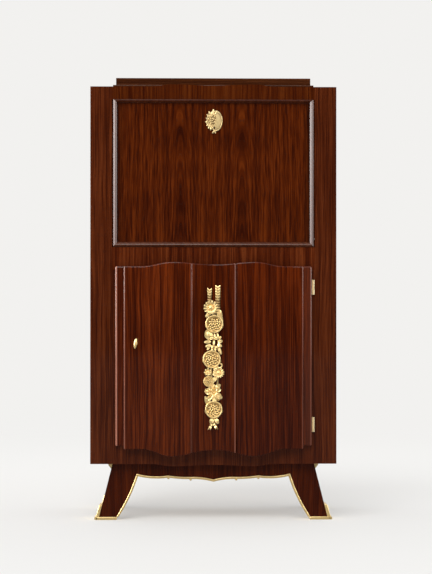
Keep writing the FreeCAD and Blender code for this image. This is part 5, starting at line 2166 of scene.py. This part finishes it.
@dataclass
class Studio:
    """Floor, surroundings, lamps and camera.

    Attributes:
        image: Width and height of the picture in pixels.
        scale: Pixels per metre on the front of the cabinet.
        centre_px: Pixel column of the cabinet's middle.
        floor_px: Pixel row of the floor under the front legs' soles.
        horizon_px: Pixel row of the camera's eye level.
        distance: From the camera to the cabinet's front.
        yaw: How far the camera stands to the left, in degrees.
        backdrop: Colour of floor and background.
        room: Colour of the room's light.
        sky: Brightness of the room beside, behind and above the cabinet.
        dark_front: Brightness straight in front of the cabinet.
        dark_edge: Directions, as shares of straight ahead, between which that darkness starts.
        strips: Brightness of the upright strips on the left and on the right.
        strip_edge: Directions, as shares of straight aside, between which a strip starts.
        strip_foot: Heights between which a strip starts.
        strip_head: Heights between which a strip ends, from above.
        strip_matt: Share of the strips' light that matt surfaces get.
        key_strength: Brightness of the key light.
        key_colour: Its colour.
        key_direction: Where it comes from.
        key_angle: Its width, in degrees.
        floor_half: Half size of the floor.
        floor_colour: Colour of the floor's paper.
        floor_glow: Share of the plain background in the floor at the cabinet.
        floor_fade: Distances between which the floor runs into the background.
        floor_mirrored: Brightness of the floor where the lacquer mirrors it.
    """

    image: tuple[int, int] = (432, 574)
    scale: float = 293.3
    centre_px: float = 213.5
    floor_px: float = 520.65
    horizon_px: float = 328.0
    distance: float = 4.8
    yaw: float = 1.0
    backdrop: Colour = (0.888, 0.880, 0.863)
    room: Colour = (1.0, 0.985, 0.965)
    sky: float = 0.71
    dark_front: float = 0.03
    dark_edge: tuple[float, float] = (0.66, 0.86)
    strips: tuple[float, float] = (10.0, 3.8)
    strip_edge: tuple[float, float] = (0.68, 0.80)
    strip_foot: tuple[float, float] = (-0.09, 0.16)
    strip_head: tuple[float, float] = (0.80, 0.50)
    strip_matt: float = 0.09
    key_strength: float = 1.55
    key_colour: Colour = (1.0, 0.97, 0.93)
    key_direction: tuple[float, float, float] = (-0.20, -0.62, 0.76)
    key_angle: float = 40.0
    floor_half: float = 30.0
    floor_colour: Colour = (0.816, 0.830, 0.838)
    floor_glow: float = 0.40
    floor_fade: tuple[float, float] = (1.2, 4.0)
    floor_mirrored: float = 0.16

    def build(self, front: float) -> None:
        """Makes the whole studio.

        Args:
            front: Depth of the cabinet's front face.
        """
        self.camera(front)
        self.surroundings()
        self.lamps()
        self.floor()

    def camera(self, front: float) -> None:
        """Level camera in front of the cabinet, shifted as a view camera is.

        Args:
            front: Depth of the cabinet's front face.
        """
        width, height = self.image
        data = bpy.data.cameras.new("camera")
        data.sensor_fit = "VERTICAL"
        data.sensor_height = 24.0
        data.lens = self.scale * self.distance * data.sensor_height / height
        data.shift_x = (width / 2 - self.centre_px) / height
        data.shift_y = (self.horizon_px - height / 2) / height
        turn = math.radians(self.yaw)
        eye = (self.floor_px - self.horizon_px) / self.scale
        camera = bpy.data.objects.new("camera", data)
        camera.location = (-self.distance * math.sin(turn), front - self.distance * math.cos(turn), eye)
        camera.rotation_euler = (math.pi / 2, 0.0, -turn)
        bpy.context.scene.collection.objects.link(camera)
        bpy.context.scene.camera = camera

    def surroundings(self) -> None:
        """White room that is dark straight in front of the cabinet, and plain to the camera."""
        world = bpy.data.worlds.new("studio")
        world.use_nodes = True
        graph = Graph(world.node_tree)
        here = graph.node("ShaderNodeTexCoord", {}, {})
        parts = graph.node("ShaderNodeSeparateXYZ", {}, {0: here.outputs["Generated"]})
        aside, depth, rise = (Value(graph, socket) for socket in parts.outputs)
        reach = (aside * aside + depth * depth + 0.0001).root()
        level = graph.span(depth * -1.0, *self.dark_edge, self.sky, self.dark_front)
        ray = graph.node("ShaderNodeLightPath", {}, {})
        shown = Value(graph, ray.outputs["Is Glossy Ray"]) * (1 - self.strip_matt) + self.strip_matt
        tall = graph.span(rise, *self.strip_foot) * graph.span(rise, *self.strip_head) * shown
        for way, strength in zip((-1.0, 1.0), self.strips):
            level = level + graph.span(aside / reach * way, *self.strip_edge, 0.0, strength) * tall
        room = graph.node("ShaderNodeBackground", {}, {"Color": (*self.room, 1.0), "Strength": level})
        plain = graph.node("ShaderNodeBackground", {}, {"Color": (*self.backdrop, 1.0), "Strength": 1.0})
        seen = Value(graph, ray.outputs["Is Camera Ray"]).most(ray.outputs["Is Transmission Ray"])
        mixed = graph.node("ShaderNodeMixShader", {}, {0: seen, 1: room.outputs[0], 2: plain.outputs[0]})
        graph.node("ShaderNodeOutputWorld", {}, {"Surface": mixed.outputs[0]})
        bpy.context.scene.world = world

    def lamps(self) -> None:
        """One broad key light from the upper left."""
        data = bpy.data.lights.new("key", "SUN")
        data.energy = self.key_strength
        data.angle = math.radians(self.key_angle)
        data.color = self.key_colour
        lamp = bpy.data.objects.new("key", data)
        lamp.rotation_euler = Vector(self.key_direction).to_track_quat("Z", "Y").to_euler()
        bpy.context.scene.collection.objects.link(lamp)

    def floor(self) -> None:
        """Pale floor that keeps a soft shadow and runs into the background."""
        bpy.ops.object.select_all(action="DESELECT")
        bpy.ops.mesh.primitive_plane_add(size=2 * self.floor_half, location=(0.0, 0.0, 0.0))
        floor = bpy.context.object
        floor.name = "floor"
        material, graph = new_material("floor_paper")
        x, y, _ = graph.place()
        away = (x * x + y * y).root()
        fade = graph.span(away, *self.floor_fade, self.floor_glow, 1.0)
        matt = graph.node("ShaderNodeBsdfDiffuse", {}, {"Color": (*self.floor_colour, 1.0)})
        plain = (*self.backdrop, 1.0)
        glow, dim = (graph.node("ShaderNodeEmission", {}, {"Color": plain, "Strength": strength})
                     for strength in (1.0, self.floor_mirrored))
        mixed = graph.node("ShaderNodeMixShader", {}, {0: fade, 1: matt.outputs[0], 2: glow.outputs[0]})
        glossy = graph.node("ShaderNodeLightPath", {}, {}).outputs["Is Glossy Ray"]
        seen = graph.node("ShaderNodeMixShader", {}, {0: glossy, 1: mixed.outputs[0], 2: dim.outputs[0]})
        graph.node("ShaderNodeOutputMaterial", {}, {"Surface": seen.outputs[0]})
        floor.data.materials.append(material)


def main() -> None:
    """Builds the dressed cabinet and reports each piece."""
    bpy.context.scene.view_settings.view_transform = "Standard"
    logging.basicConfig(level=logging.INFO, format="%(message)s")
    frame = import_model()
    store = FinishStore()
    for finish, names in NODE_FINISHES.items():
        for name in names:
            store.dress(frame["nodes"][name], finish)
    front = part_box("left_stile")[0].y
    for assembly in (Door(), FlapMoulding(), Garland(), Escutcheon(), Knob(), BaseTrims(), ShoeSet()):
        for piece in assembly.build(store):
            LOG.info("%s", piece.name)
    Studio().build(front)


if __name__ == "__main__":
    main()
